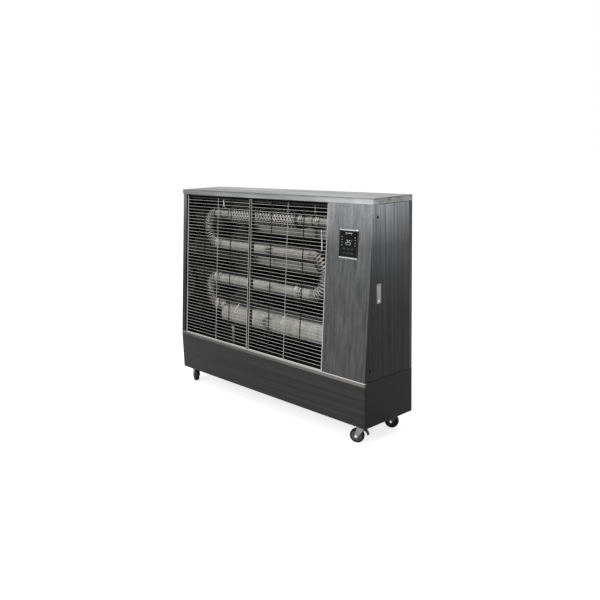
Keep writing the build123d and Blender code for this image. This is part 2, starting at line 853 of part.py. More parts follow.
wheel_near = tube_y - wheel_width / 2
wheel_far = tube_y + wheel_width / 2
with BuildPart() as blower_wheel:
    facet_bar(along_y(burner_x, wheel_far - 2, chamber_z), wheel_radius, 2 * blade_count, 2)
    hub_plane = along_y(burner_x, wheel_near + hub_inset, chamber_z)
    facet_bar(hub_plane, 2.5 * shaft_radius, blade_count, wheel_width - hub_inset)
    rod_y(burner_x, chamber_z, shaft_radius, wheel_far, burner_far + shaft_depth)
    with BuildSketch(Plane.XZ.offset(-wheel_near)):
        with Locations((burner_x, chamber_z)):
            with PolarLocations(wheel_radius - 8, blade_count):
                Rectangle(13, 1.5, rotation=35)
    extrude(amount=-wheel_width + 1)
save(blower_wheel, "blower_wheel")

with BuildPart() as burner_motor:
    facet_bar(along_y(burner_x, burner_far, chamber_z), motor_radius, 16, motor_length)
    shaft_bore = shaft_radius + running_gap
    rod_y(burner_x, chamber_z, shaft_bore, burner_far, burner_far + shaft_depth + 2, Mode.SUBTRACT)
save(burner_motor, "burner_motor")

# Fuel pump on the deck behind the bulkhead
pump_x = bulkhead_x + pump_size
pump_y = strip_y - pump_size
with BuildPart() as fuel_pump:
    with BuildSketch(Plane.XY.offset(deck_top)):
        with Locations((pump_x, pump_y)):
            Rectangle(pump_size, pump_size)
    extrude(amount=pump_body)
    facet_bar(Plane(origin=(pump_x, pump_y, deck_top + pump_body)), pump_head, 8, pump_height - pump_body)
save(fuel_pump, "fuel_pump")

# Fuel tank on pads in the tray, its filler neck rising through the deck
tank_low = base_z + sheet + tank_pad
tank_mid_y = (front_y + ledge_depth + back_y) / 2
tank_mid_x = half_width - sheet - tank_end_gap - tank_width / 2
with BuildPart() as fuel_tank:
    with BuildSketch(Plane.XY.offset(tank_low)):
        with Locations((tank_mid_x, tank_mid_y)):
            Rectangle(tank_width, tank_depth)
    extrude(amount=tank_height)
    with BuildSketch(Plane.XY.offset(tank_low + tank_wall)):
        with Locations((tank_mid_x, tank_mid_y)):
            Rectangle(tank_width - 2 * tank_wall, tank_depth - 2 * tank_wall)
    extrude(amount=tank_height - 2 * tank_wall, mode=Mode.SUBTRACT)
    for pad_x in (tank_mid_x - tank_width / 3, tank_mid_x + tank_width / 3):
        with BuildSketch(Plane.XY.offset(base_z + sheet)) as pad:
            with Locations((pad_x, tank_mid_y)):
                Rectangle(pad_width, tank_depth / 1.5)
        extrude(pad.sketch, amount=tank_pad)
    rod_z(neck_x, neck_y, neck_radius, tank_low + tank_height, deck_top + neck_height)
    bore_low = tank_low + tank_height - 2 * tank_wall
    rod_z(neck_x, neck_y, neck_radius - tank_wall, bore_low, deck_top + neck_height, Mode.SUBTRACT)
save(fuel_tank, "fuel_tank")

# Fuel cap: bayonet cap over the neck, with six grip lugs
cap_top = deck_top + neck_height + seam + cap_wall
with BuildPart() as fuel_cap:
    cap_plane = Plane(origin=(neck_x, neck_y, cap_top - cap_height))
    facet_bar(cap_plane, cap_radius - cap_wall, 2 * bend_sides, cap_height)
    with BuildSketch(Plane.XY.offset(cap_top - cap_height)):
        with Locations((neck_x, neck_y)):
            with PolarLocations(cap_radius - 5, 6):
                Rectangle(8, 9)
    extrude(amount=cap_height)
    rod_z(neck_x, neck_y, neck_radius + seam, cap_top - cap_height, cap_top - cap_wall, Mode.SUBTRACT)
save(fuel_cap, "fuel_cap")

# Control bezel: rounded rim on the front panel with a lip that carries the plate
inner_width = bezel_width - 2 * bezel_rim
inner_height = bezel_height - 2 * bezel_rim
with BuildPart() as control_bezel:
    with BuildSketch(control_plane):
        Rectangle(bezel_width, bezel_height)
    extrude(amount=bezel_proud)
    chamfer(control_bezel.faces().sort_by(Axis.Y)[0].edges(), 1.2)
    with BuildSketch(control_plane):
        Rectangle(cutout_width - 2 * seam, cutout_height - 2 * seam)
    extrude(amount=-sheet - 2)
    with BuildSketch(control_plane.offset(bezel_proud)):
        Rectangle(inner_width, inner_height)
    extrude(amount=-bezel_proud - 1, mode=Mode.SUBTRACT)
    with BuildSketch(control_plane):
        Rectangle(inner_width - 2 * plate_lip, inner_height - 2 * plate_lip)
    extrude(amount=-sheet - 3, mode=Mode.SUBTRACT)
save(control_bezel, "control_bezel")

# Control plate with six button openings
plate_back = -1
button_row_low = -button_drop - button_pitch_z / 2
with BuildPart() as control_plate:
    with BuildSketch(control_plane.offset(plate_back)):
        Rectangle(inner_width - 2 * seam, inner_height - 2 * seam)
        with Locations((0, -button_drop)):
            with GridLocations(button_pitch_x, button_pitch_z, 3, 2):
                Rectangle(button_width + 2 * button_gap, button_height + 2 * button_gap, mode=Mode.SUBTRACT)
    extrude(amount=plate_thickness)
save(control_plate, "control_plate")

plate_face = plate_back + plate_thickness
button_names = ("button_power", "button_timer", "button_mode", "button_down", "button_up", "button_lock")
for index, name in enumerate(button_names):
    column = index % 3 - 1
    row = 0.5 - index // 3
    with BuildPart() as button:
        with BuildSketch(control_plane.offset(plate_back - 1)):
            with Locations((column * button_pitch_x, row * button_pitch_z - button_drop)):
                Rectangle(button_width, button_height)
        extrude(amount=plate_thickness + 1 + button_proud)
    save(button, name)

# Control box: tray behind the front panel with the board and its six switches
with BuildPart() as control_box:
    with BuildSketch(control_plane.offset(-sheet)):
        Rectangle(bezel_width + 16, bezel_height + 16)
    extrude(amount=-board_depth)
    with BuildSketch(control_plane.offset(-sheet)):
        Rectangle(bezel_width + 12, bezel_height + 12)
    extrude(amount=2 - board_depth, mode=Mode.SUBTRACT)
    with BuildSketch(control_plane.offset(-board_gap - 2)):
        Rectangle(bezel_width + 12, bezel_height + 12)
    extrude(amount=-2)
    with BuildSketch(control_plane.offset(-board_gap - 2)):
        with Locations((0, -button_drop)):
            with GridLocations(button_pitch_x, button_pitch_z, 3, 2):
                Rectangle(6, 6)
        with Locations((0, 8)):
            Rectangle(30, 14)
    extrude(amount=board_gap - button_travel - 0.5)
save(control_box, "control_box")

# Service door: pan with a folded rim, a latch cut-out, a bolt slot, stud holes and pivot holes
door_low = sill_top + door_gap
door_high = lid_z - door_gap
door_rear = strip_y - door_gap
door_inner = half_width - sheet - side_rim_depth
pivot_x = half_width - door_pivot_inset
pivot_y = door_rear - door_pivot_inset - side_rim_inset
skin_inner = half_width - sheet
latch_near = front_at(latch_z) + latch_from_front
latch_far = latch_near + latch_width
latch_low = latch_z - latch_height / 2
latch_high = latch_z + latch_height / 2
stud_places = [
    (front_at(sill_top + stud_low) + stud_from_front, sill_top + stud_low),
    (front_at(lid_z - stud_high) + stud_from_front, lid_z - stud_high),
]
with BuildPart() as side_door:
    side_sheet(half_width, door_inner, door_rear, door_low, door_high, strike_depth + side_rim_inset)
    block(
        skin_inner - 1,
        half_width + 1,
        latch_near - seam,
        latch_far + seam,
        latch_low - seam,
        latch_high + seam,
        Mode.SUBTRACT,
    )
    block(
        door_inner - 1,
        skin_inner,
        front_at(latch_z) + strike_depth,
        latch_near - 1,
        latch_z - bolt_height / 2 - 2,
        latch_z + bolt_height / 2 + 2,
        Mode.SUBTRACT,
    )
    for stud_y, stud_z in stud_places:
        rod_x(stud_y, stud_z, stud_radius, skin_inner - 1, half_width + 1, Mode.SUBTRACT)
    rim_reach = side_rim_inset + 2 * sheet
    for low in (door_low, door_high - rim_reach):
        rod_z(pivot_x, pivot_y, pin_radius + running_gap, low, low + rim_reach, Mode.SUBTRACT)
save(side_door, "side_door")

# Door hinge pins: two bracket plates on the frame, each with a pin through the door's rim
bracket_right = skin_inner - 2 * seam
bracket_left = bracket_right - 2 * bracket_half + 3
with BuildPart() as door_hinge_pins:
    bracket_near = pivot_y - bracket_half
    bracket_far = pivot_y + bracket_half
    bracket_top = sill_top + bracket_sheet
    block(bracket_left, bracket_right, bracket_near, bracket_far, sill_top, bracket_top)
    rod_z(pivot_x, pivot_y, pin_radius, sill_top + bracket_sheet, door_low + side_rim_inset + pin_reach)
    upper_z_plate = lid_z - seam
    block(
        bracket_left,
        bracket_right,
        pivot_y - bracket_half,
        strip_y + bracket_half,
        upper_z_plate,
        upper_z_plate + bracket_sheet,
    )
    rod_z(pivot_x, pivot_y, pin_radius, door_high - side_rim_inset - pin_reach, upper_z_plate)
save(door_hinge_pins, "door_hinge_pins")

# Latch case: flush plate and pocket clamped in the door skin, with the lever's pin across it
lever_high = latch_high - lever_from_top
lever_low = lever_high - lever_length
lever_x = half_width - lever_pivot_depth
lever_z = lever_high - lever_pivot_depth
latch_mid = (latch_near + latch_far) / 2
lever_near = latch_mid - lever_width / 2
lever_far = latch_mid + lever_width / 2
latch_button_z = latch_low + latch_button_rise
with BuildPart() as latch_case:
    block(half_width - latch_depth, half_width, latch_near, latch_far, latch_low, latch_high)
    clamp_right = skin_inner - seam
    block(clamp_right - sheet, clamp_right, latch_near, latch_far + 3, latch_low - 3, latch_high + 3)
    block(
        half_width - pocket_depth,
        half_width + 1,
        lever_near - seam,
        lever_far + seam,
        lever_low - seam,
        lever_high + seam,
        Mode.SUBTRACT,
    )
    rod_y(lever_x, lever_z, lever_pin, lever_near - seam, lever_far + seam)
    rod_x(
        latch_mid,
        latch_button_z,
        latch_button_radius + seam,
        half_width - latch_button_depth - 3,
        half_width + 1,
        Mode.SUBTRACT,
    )
save(latch_case, "latch_case")

with BuildPart() as latch_lever:
    with BuildSketch(Plane.XZ.offset(-lever_near)):
        with Locations((lever_x, lever_z)):
            Circle(lever_pivot_depth)
        with Locations((half_width - lever_thickness / 2, (lever_low + lever_z) / 2)):
            Rectangle(lever_thickness, lever_z - lever_low)
        with Locations((lever_x, lever_z)):
            Circle(lever_pin + running_gap, mode=Mode.SUBTRACT)
    extrude(amount=-lever_width)
save(latch_lever, "latch_lever")

with BuildPart() as latch_button:
    rod_x(latch_mid, latch_button_z, latch_button_radius, half_width - latch_button_depth, half_width)
save(latch_button, "latch_button")

# Latch bolt: bar behind the case whose tongue reaches behind the front panel's strike
bolt_right = half_width - latch_depth - seam
tongue_near = front_at(latch_z) + strike_depth - bolt_overlap
tongue_far = tongue_near + bolt_overlap + 1
with BuildPart() as latch_bolt:
    block(
        bolt_right - bolt_thickness,
        bolt_right,
        tongue_near,
        latch_far - 1,
        latch_z - bolt_height / 2,
        latch_z + bolt_height / 2,
    )
    block(
        bolt_right - bolt_thickness,
        panel_right - sheet - seam,
        tongue_near,
        tongue_far,
        latch_z - bolt_height / 2,
        latch_z + bolt_height / 2,
    )
save(latch_bolt, "latch_bolt")

# Casters: heading is the way the fork's head points ahead of its trailing wheel
right_x = half_width - caster_from_side
front_caster_y = front_y + caster_from_front
rear_caster_y = back_y - caster_from_back
casters = (
    ("front_right", right_x, front_caster_y, 24, True),
    ("rear_right", right_x, rear_caster_y, 25, False),
    ("front_left", -right_x, front_caster_y, -21, True),
    ("rear_left", -right_x, rear_caster_y, -17, False),
)
race_low = base_z - mount_sheet - race_height
crown_top = race_low - seam
crown_low = crown_top - crown_sheet
leg_inner = tread_width / 2 + leg_gap
hub_half = leg_inner - seam
axle_z = tread_radius
pedal_z = crown_low - pedal_drop
with BuildPart() as caster_plates:
    for _, caster_x, caster_y, _, _ in casters:
        half_plate = mount_plate / 2
        block(
            caster_x - half_plate,
            caster_x + half_plate,
            caster_y - half_plate,
            caster_y + half_plate,
            base_z - mount_sheet,
            base_z,
        )
        with BuildSketch(Plane.XY.offset(race_low)) as race:
            with Locations((caster_x, caster_y)):
                RegularPolygon(race_radius, side_count=12)
        extrude(race.sketch, amount=race_height)
        rod_z(caster_x, caster_y, kingpin_radius, crown_low - seam, race_low)
        with BuildSketch(Plane.XY.offset(crown_low - seam)) as nut:
            with Locations((caster_x, caster_y)):
                RegularPolygon(1.6 * kingpin_radius, side_count=6)
        extrude(nut.sketch, amount=-3.5)
save(caster_plates, "caster_plates")

for place, caster_x, caster_y, heading, has_pedal in casters:
    ahead = Vector(1, 0, 0).rotate(Axis.Z, heading)
    side_normal = Vector(0, -1, 0).rotate(Axis.Z, heading)
    rolling_plane = Plane(origin=(caster_x, caster_y, 0), x_dir=ahead, z_dir=side_normal)
    crown_plane = Plane(origin=(caster_x, caster_y, crown_low), x_dir=ahead, z_dir=(0, 0, 1))
    with BuildPart() as fork:
        with BuildSketch(crown_plane):
            Rectangle(crown_size, 2 * (leg_inner + leg_sheet))
            Circle(kingpin_radius + running_gap, mode=Mode.SUBTRACT)
        extrude(amount=crown_sheet)
        for side in (-1, 1):
            with BuildSketch(rolling_plane.offset(side * leg_inner)):
                with Locations((0, crown_low + crown_sheet / 2)):
                    Rectangle(crown_size - 12, crown_sheet)
                with Locations((-caster_trail, axle_z)):
                    RegularPolygon(2 * axle_radius, side_count=8, rotation=22.5)
                make_hull()
            extrude(amount=side * leg_sheet)
        with BuildSketch(rolling_plane):
            with Locations((-caster_trail, axle_z)):
                Circle(axle_radius)
            if has_pedal:
                with Locations((pedal_x, pedal_z)):
                    Circle(pedal_pin_radius)
        extrude(amount=leg_inner + leg_sheet / 2, both=True)
    save(fork, f"caster_fork_{place}")

    with BuildPart() as wheel:
        with BuildSketch(rolling_plane):
            with Locations((-caster_trail, axle_z)):
                Circle(tread_radius)
        extrude(amount=tread_width / 2, both=True)
        with BuildSketch(rolling_plane):
            with Locations((-caster_trail, axle_z)):
                Circle(axle_radius + running_gap)
        extrude(amount=tread_width / 2, both=True, mode=Mode.SUBTRACT)
    save(wheel, f"caster_wheel_{place}")

    if has_pedal:
        with BuildPart() as brake_pedal:
            with BuildSketch(rolling_plane):
                with BuildLine():
                    Polyline((pedal_x, pedal_z), (pedal_x + 15, pedal_z - 4), (pedal_x + 26, pedal_z - 21))
                trace(line_width=pedal_sheet)
            extrude(amount=leg_inner - 3, both=True)
            with BuildSketch(rolling_plane):
                with Locations((pedal_x, pedal_z)):
                    Circle(pedal_radius)
            extrude(amount=hub_half, both=True)
            with BuildSketch(rolling_plane):
                with Locations((pedal_x, pedal_z)):
                    Circle(pedal_pin_radius + running_gap)
            extrude(amount=hub_half, both=True, mode=Mode.SUBTRACT)
        save(brake_pedal, f"brake_pedal_{place}")
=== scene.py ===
import math
import random

import bmesh
import bpy
from mathutils import Matrix, Vector


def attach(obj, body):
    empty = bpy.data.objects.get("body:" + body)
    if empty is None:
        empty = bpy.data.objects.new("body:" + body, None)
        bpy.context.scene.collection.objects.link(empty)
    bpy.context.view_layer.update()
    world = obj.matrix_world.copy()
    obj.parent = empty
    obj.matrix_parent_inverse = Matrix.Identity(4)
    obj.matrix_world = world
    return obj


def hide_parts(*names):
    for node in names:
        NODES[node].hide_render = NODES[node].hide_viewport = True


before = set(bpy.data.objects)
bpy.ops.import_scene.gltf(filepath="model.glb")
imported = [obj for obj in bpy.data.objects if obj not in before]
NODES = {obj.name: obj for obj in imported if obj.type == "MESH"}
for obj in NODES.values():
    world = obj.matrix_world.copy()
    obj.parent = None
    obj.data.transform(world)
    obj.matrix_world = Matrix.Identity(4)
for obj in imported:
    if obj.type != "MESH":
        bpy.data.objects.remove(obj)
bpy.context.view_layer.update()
random.seed(7)
MM = 0.001
X, Y, Z = range(3)


# Places and sizes, in millimetres, most of them worked out from the frame


def box(node):
    """Low and high corner of a CAD node at rest."""
    points = [vert.co for vert in NODES[node].data.vertices]
    return [[round(pick(point[i] for point in points) / MM, 3) for i in range(3)] for pick in (min, max)]


def middle(node, axis):
    """Middle of a CAD node along one axis."""
    low, high = box(node)
    return (low[axis] + high[axis]) / 2


# Casing
LID_LOW, LID_HIGH = box("top_lid")
HALF, BACK_Y, TOP_Z = LID_HIGH
LID_Z = LID_LOW[Z]
FRONT_Y = box("base_tray")[0][Y]
SILL_GAP = 0.3
SKIRT_TOP = box("sill_rail")[0][Z] - SILL_GAP
LEAN_DEPTH = 66.0
LEAN = LEAN_DEPTH / (LID_Z - SKIRT_TOP)
BULKHEAD_X = box("bulkhead")[0][X]

# Tube run
MAIN_RADIUS, UPPER_RADIUS, EXHAUST_RADIUS, TUBE_WALL = 36.5, 35.0, 32.0, 2.0
DRUM_RADIUS, DRUM_LENGTH = 72.5, 818.0
SLEEVE_RADIUS = 40.0
TUBE_Y = middle("perforated_sleeve", Y)
DRUM_Z = middle("combustion_chamber", Z)
LOWER_Z = box("lower_left_bend")[0][Z] + MAIN_RADIUS
MIDDLE_Z = middle("middle_tube", Z)
UPPER_Z = middle("upper_tube", Z)
TOP_TUBE_Z = middle("exhaust_tube", Z)
DRUM_X = box("combustion_chamber")[1][X] - DRUM_LENGTH
LOWER_X, RIGHT_X = (corner[X] for corner in box("middle_tube"))
UPPER_X = box("upper_tube")[0][X]
SLEEVE_LEFT, SLEEVE_RIGHT = (corner[X] for corner in box("perforated_sleeve"))
FLUE_X = middle("flue_spigot", X)
FLUE_START, FLUE_END = (corner[Y] for corner in box("flue_spigot"))


def front_at(z):
    """Y of the leaning front at height z."""
    return FRONT_Y + LEAN * (z - SKIRT_TOP)


# Two plugs in the door, set back from its front edge
PLUG_HEIGHTS, PLUG_INSET = (329.6, 950.0), 25.0
PLUGS = [(HALF, front_at(z) + PLUG_INSET, z) for z in PLUG_HEIGHTS]


# Materials


class Graph:
    """A small helper that lays out one material's nodes."""

    def __init__(self, name):
        self.material = bpy.data.materials.new(name)
        self.material.use_nodes = True
        self.tree = self.material.node_tree
        self.shader = self.tree.nodes["Principled BSDF"]
        self.place = self.add("ShaderNodeTexCoord").outputs["Object"]

    def add(self, kind, **settings):
        node = self.tree.nodes.new(kind)
        for key, value in settings.items():
            setattr(node, key, value)
        return node

    def link(self, source, target):
        self.tree.links.new(source, target)

    def set(self, **values):
        for key, value in values.items():
            self.shader.inputs[key.replace("_", " ")].default_value = value

    def split(self, source, axis):
        """One part of a vector."""
        node = self.add("ShaderNodeSeparateXYZ")
        self.link(source, node.inputs[0])
        return node.outputs[axis]

    def noise(self, scale, detail=4.0, rough=0.55):
        """Noise stretched by a scale per axis."""
        mapping = self.add("ShaderNodeMapping")
        mapping.inputs["Scale"].default_value = scale
        self.link(self.place, mapping.inputs["Vector"])
        noise = self.add("ShaderNodeTexNoise")
        noise.inputs["Scale"].default_value = 1.0
        noise.inputs["Detail"].default_value = detail
        noise.inputs["Roughness"].default_value = rough
        self.link(mapping.outputs["Vector"], noise.inputs["Vector"])
        return noise.outputs["Fac"]

    def spread(self, value, low, high, start=0.3, end=0.7):
        """Map a value from start to end onto low to high."""
        node = self.add("ShaderNodeMapRange")
        node.inputs["From Min"].default_value = start
        node.inputs["From Max"].default_value = end
        node.inputs["To Min"].default_value = low
        node.inputs["To Max"].default_value = high
        self.link(value, node.inputs["Value"])
        return node.outputs["Result"]

    def times(self, *values):
        """Product of several values."""
        total = values[0]
        for value in values[1:]:
            node = self.add("ShaderNodeMath", operation="MULTIPLY")
            self.link(total, node.inputs[0])
            self.link(value, node.inputs[1])
            total = node.outputs[0]
        return total

    def ramp(self, value, stops):
        """Colour ramp through (position, colour) stops."""
        node = self.add("ShaderNodeValToRGB")
        elements = node.color_ramp.elements
        while len(elements) < len(stops):
            elements.new(0.5)
        for element, (position, colour) in zip(elements, stops):
            element.position = position
            element.color = (*colour, 1.0)
        self.link(value, node.inputs["Fac"])
        return node.outputs["Color"]

    def height(self):
        """Height above the floor, 0 to 1 up to the lid's top."""
        return self.spread(self.split(self.place, "Z"), 0.0, 1.0, 0.0, TOP_Z * MM)

    def tint(self, colour, value):
        """Colour multiplied by a value."""
        node = self.add("ShaderNodeMix", data_type="RGBA", blend_type="MULTIPLY")
        node.inputs["Factor"].default_value = 1.0
        self.link(colour, node.inputs["A"])
        self.link(value, node.inputs["B"])
        return node.outputs["Result"]

    def spot(self, place):
        """Dark disc round a point in millimetres: almost 0 inside it, 1 outside."""
        gap = self.add("ShaderNodeVectorMath", operation="DISTANCE")
        self.link(self.place, gap.inputs[0])
        gap.inputs[1].default_value = [c * MM for c in place]
        return self.spread(gap.outputs["Value"], 0.02, 1.0, SPOT_INSIDE * MM, SPOT_OUTSIDE * MM)

    def bump(self, value, strength):
        node = self.add("ShaderNodeBump")
        node.inputs["Strength"].default_value = strength
        node.inputs["Distance"].default_value = BUMP_DEPTH
        self.link(value, node.inputs["Height"])
        self.link(node.outputs["Normal"], self.shader.inputs["Normal"])

    def finish(self, base, roughness):
        """Join the base colour and the roughness to the shader."""
        self.link(base, self.shader.inputs["Base Color"])
        self.link(roughness, self.shader.inputs["Roughness"])


BUMP_DEPTH = 0.0001
SPOT_INSIDE, SPOT_OUTSIDE = 5.2, 6.0
# The right end's painted shade starts and is full at these depths inside the casing's outer face
SHADE_START, SHADE_FULL = 2.5, 0.5
# The tone falls off to the left of this X, as painted shade
LEFT_SHADE_END = 400.0


def grain(axis, across, along):
    """Noise scale for a grain that runs along one axis."""
    return tuple(along if name == axis else across for name in "xyz")


def brushed(
    name, stops, axis="x", roughness=0.34, streaks=0.16, fine=0.12, marks=0.1,
    end=1.0, painted_left_shade=1.0, width=85.0, spots=(),
):
    """Brushed sheet steel: long streaks, fine grain and smudges over a tone that follows height as painted
    light and shade.

    streaks, fine and marks say how strong each kind is, and width how narrow the streaks are. end is the
    tone of the face at the right end, and the argument after it the tone at the left end; both are painted
    shade.
    """
    graph = Graph(name)
    broad = graph.noise(grain(axis, width, 1.6), 3.0)
    thin = graph.noise(grain(axis, 900.0, 9.0), 2.0)
    cloud = graph.noise((3.1, 4.3, 3.7), 4.0)
    tone = graph.times(
        graph.spread(broad, 1 - streaks, 1 + streaks),
        graph.spread(thin, 1 - fine, 1 + fine),
        graph.spread(cloud, 1 - marks, 1 + marks),
    )
    # Painted shade: the face at the right end darkens to end, and the casing darkens towards its left end
    if end < 1.0:
        across = graph.split(graph.place, "X")
        shade = graph.spread(across, 1.0, end, (HALF - SHADE_START) * MM, (HALF - SHADE_FULL) * MM)
        tone = graph.times(tone, shade, graph.spread(across, painted_left_shade, 1.0, -HALF * MM, LEFT_SHADE_END * MM))
    for spot in spots:
        tone = graph.times(tone, graph.spot(spot))
    rough = graph.times(
        graph.spread(thin, roughness * 0.85, roughness * 1.15),
        graph.spread(cloud, 0.9, 1.15),
    )
    # The ramp by height paints light and shade into the colour
    graph.finish(graph.tint(graph.ramp(graph.height(), stops), tone), rough)
    graph.bump(thin, 0.12)
    graph.set(Metallic=1.0, Anisotropic=0.5)
    return graph.material


def metal(name, colour, roughness, grime=0.12, clouds=9.0):
    """Plain bare or plated metal with clouding and fine specks."""
    graph = Graph(name)
    cloud = graph.noise((clouds,) * 3, 5.0)
    speck = graph.noise((540.0,) * 3, 3.0)
    tone = graph.times(graph.spread(cloud, 1 - grime, 1 + grime), graph.spread(speck, 0.95, 1.05))
    base = graph.ramp(cloud, [(0.2, [c * 0.92 for c in colour]), (0.8, colour)])
    graph.finish(graph.tint(base, tone), graph.spread(cloud, roughness * 0.75, roughness * 1.3))
    graph.bump(speck, 0.08)
    graph.set(Metallic=1.0)
    return graph.material


def heated(name, colour, roughness, dark=0.16):
    """Stainless tube, uneven in tone from heat, with fine turned lines and painted light and shade by facing;
    dark is the painted tone of its underside.
    """
    graph = Graph(name)
    cloud = graph.noise((7.0, 11.0, 11.0), 5.0)
    band = graph.noise((40.0, 3.0, 3.0), 2.0)
    turned = graph.noise((1300.0, 30.0, 30.0), 2.0)
    warm = [colour[0] * 1.05, colour[1] * 0.97, colour[2] * 0.88]
    stops = [(0.25, [c * 0.8 for c in warm]), (0.5, colour), (0.8, [c * 1.1 for c in colour])]
    # Painted light and shade: up to twice as bright where the surface faces up, down to dark where it faces
    # down
    facing = graph.split(graph.add("ShaderNodeTexCoord").outputs["Normal"], "Z")
    painted_light_and_shade = graph.spread(facing, dark, 2.0, -0.45, 0.75)
    tone = graph.times(graph.spread(band, 0.86, 1.12), graph.spread(turned, 0.93, 1.07), painted_light_and_shade)
    rough = graph.spread(cloud, roughness * 0.8, roughness * 1.3)
    graph.finish(graph.tint(graph.ramp(cloud, stops), tone), rough)
    graph.bump(turned, 0.1)
    graph.set(Metallic=1.0)
    return graph.material


def plastic(name, colour, roughness, grit=0.15, coat=0.0, shine=0.4):
    """Moulded plastic, paint or rubber with a fine texture and scuffs."""
    graph = Graph(name)
    cloud = graph.noise((35.0,) * 3, 4.0)
    fine = graph.noise((1500.0,) * 3, 2.0)
    tone = graph.times(graph.spread(cloud, 0.85, 1.2), graph.spread(fine, 0.95, 1.05))
    stops = [(0.2, [c * 0.85 for c in colour]), (0.8, [min(1.0, c * 1.1) for c in colour])]
    rough = graph.spread(cloud, roughness * 0.8, min(1.0, roughness * 1.25))
    graph.finish(graph.tint(graph.ramp(cloud, stops), tone), rough)
    graph.bump(fine, grit)
    graph.set(Coat_Weight=coat, Specular_IOR_Level=shine)
    return graph.material


def grey(value, warm=0.0):
    """Grey with a slight warm or cool cast."""
    return [value * (1 + warm), value, value * (1 - warm)]


# Tones of the sheets by height, from the floor at 0 to the lid's top at 1; the change with height is painted
# light and shade, mostly darker lower down
# The base's much darker tone is painted shade
BASE_TONE = [(0.08, grey(0.024, 0.01)), (0.26, grey(0.030, 0.01)), (1.0, grey(0.030, 0.01))]
PANEL_TONE = [(0.27, grey(0.058)), (0.55, grey(0.080, -0.005))]
PANEL_TONE += [(0.80, grey(0.130, -0.01)), (0.98, grey(0.290, -0.02))]
DOOR_TONE = [(0.27, grey(0.014)), (0.40, grey(0.017)), (0.54, grey(0.022)), (0.68, grey(0.036, -0.01))]
DOOR_TONE += [(0.81, grey(0.072, -0.04)), (0.91, grey(0.175, -0.05)), (0.98, grey(0.250, -0.05))]
# The lid's front face is painted lighter and its top face, from 0.9995, darker: painted light and shade
LID_TONE = [(0.0, grey(0.36, -0.01)), (0.993, grey(0.42, -0.01)), (0.9995, grey(0.185, -0.01))]
# From 0.2730 the sill's top edge is a painted highlight
SILL_TONE_WITH_HIGHLIGHT = [(0.0, grey(0.115, 0.02)), (0.2705, grey(0.120, 0.02)), (0.2730, grey(0.50, 0.02))]
POST_TONE = [(0.27, grey(0.018)), (0.60, grey(0.028)), (0.82, grey(0.085, -0.02)), (0.97, grey(0.160, -0.03))]
REAR_TONE = [(0.27, grey(0.07)), (1.0, grey(0.17))]
INNER_TONE = [(0.0, grey(0.025)), (1.0, grey(0.04))]
REFLECTOR_TONE = [(0.0, [0.115, 0.120, 0.106]), (1.0, [0.130, 0.136, 0.120])]
LATCH_TONE = [(0.60, grey(0.20)), (0.66, grey(0.26))]
# The lid's end and left-end tones are painted shade
LID_LOOK = {"roughness": 0.3, "streaks": 0.4, "marks": 0.24, "end": 0.62, "painted_left_shade": 0.42, "width": 26.0}

# The end and left-end tones given to the base, rear, lid and sill are painted shade
MATERIALS = {
    "base": brushed("steel_base", BASE_TONE, streaks=0.2, end=0.40, painted_left_shade=0.45),
    "panel": brushed("steel_front_panel", PANEL_TONE, "z", streaks=0.3, fine=0.18),
    "post": brushed("steel_post", POST_TONE, "z"),
    "door": brushed("steel_door", DOOR_TONE, "z", streaks=0.3, fine=0.18, spots=PLUGS),
    "rear": brushed("steel_rear", REAR_TONE, streaks=0.2, end=0.45),
    "lid": brushed("steel_lid", LID_TONE, **LID_LOOK),
    "sill": brushed("steel_sill", SILL_TONE_WITH_HIGHLIGHT, roughness=0.3, end=0.3, painted_left_shade=0.42),
    "inner": brushed("steel_inner", INNER_TONE, roughness=0.4),
    "reflector": brushed("steel_reflector", REFLECTOR_TONE, roughness=0.11),
    "latch": brushed("steel_latch", LATCH_TONE, "z", roughness=0.3),
    "tube": heated("steel_tube", [0.265, 0.266, 0.243], 0.28, dark=0.10),
    "sleeve": heated("steel_sleeve", [0.31, 0.31, 0.295], 0.28, dark=0.5),
    "bend": heated("steel_bend", [0.15, 0.149, 0.140], 0.33),
    "wire": metal("wire_chrome", grey(0.46, 0.01), 0.22),
    # Dark wire for the grille's side stays, also used as painted shade in the bends' valleys and on the top
    # tube under the sleeve
    "dark_and_shade": metal("wire_dark_and_shade", grey(0.012), 0.5),
    "chrome": metal("chrome_plate", grey(0.62, -0.01), 0.16, grime=0.08),
    "rim": metal("rim_dark", grey(0.03), 0.25),
    "zinc": metal("zinc_plate", [0.42, 0.42, 0.40], 0.4, clouds=30.0),
    # Lit and shaded copies of one fork plate: the front forks' lighter grey is painted light, the rear forks'
    # dark grey painted shade
    "fork": metal("fork_plate_lit", [0.20, 0.20, 0.19], 0.38, clouds=45.0),
    "shade": metal("fork_shaded", grey(0.045), 0.4, clouds=45.0),
    "cast": metal("cast_grey", [0.16, 0.165, 0.17], 0.55, clouds=40.0),
    "tank": plastic("paint_black", [0.02, 0.02, 0.022], 0.35, coat=0.3),
    "black": plastic("plastic_black", [0.012, 0.012, 0.013], 0.4),
    "gloss": plastic("panel_black", [0.004, 0.004, 0.005], 0.18, grit=0.02, shine=0.12),
    "key": plastic("key_grey", [0.020, 0.021, 0.023], 0.35, shine=0.15),
    "plug": plastic("plug_black", grey(0.002), 0.8, shine=0.0),
    "dim": plastic("print_dim", grey(0.10), 0.4, grit=0.02),
    "mark": plastic("print_pale", [0.55, 0.56, 0.56], 0.4, grit=0.02),
    "red": plastic("plastic_red", [0.35, 0.02, 0.015], 0.35),
    "rubber": plastic("rubber_black", grey(0.004), 0.6, grit=0.3, shine=0.12),
    "hub": plastic("hub_grey", [0.09, 0.09, 0.088], 0.35, shine=0.25),
    "hub_dark": plastic("hub_black", grey(0.010), 0.4, shine=0.15),
}


# Mesh building, in millimetres


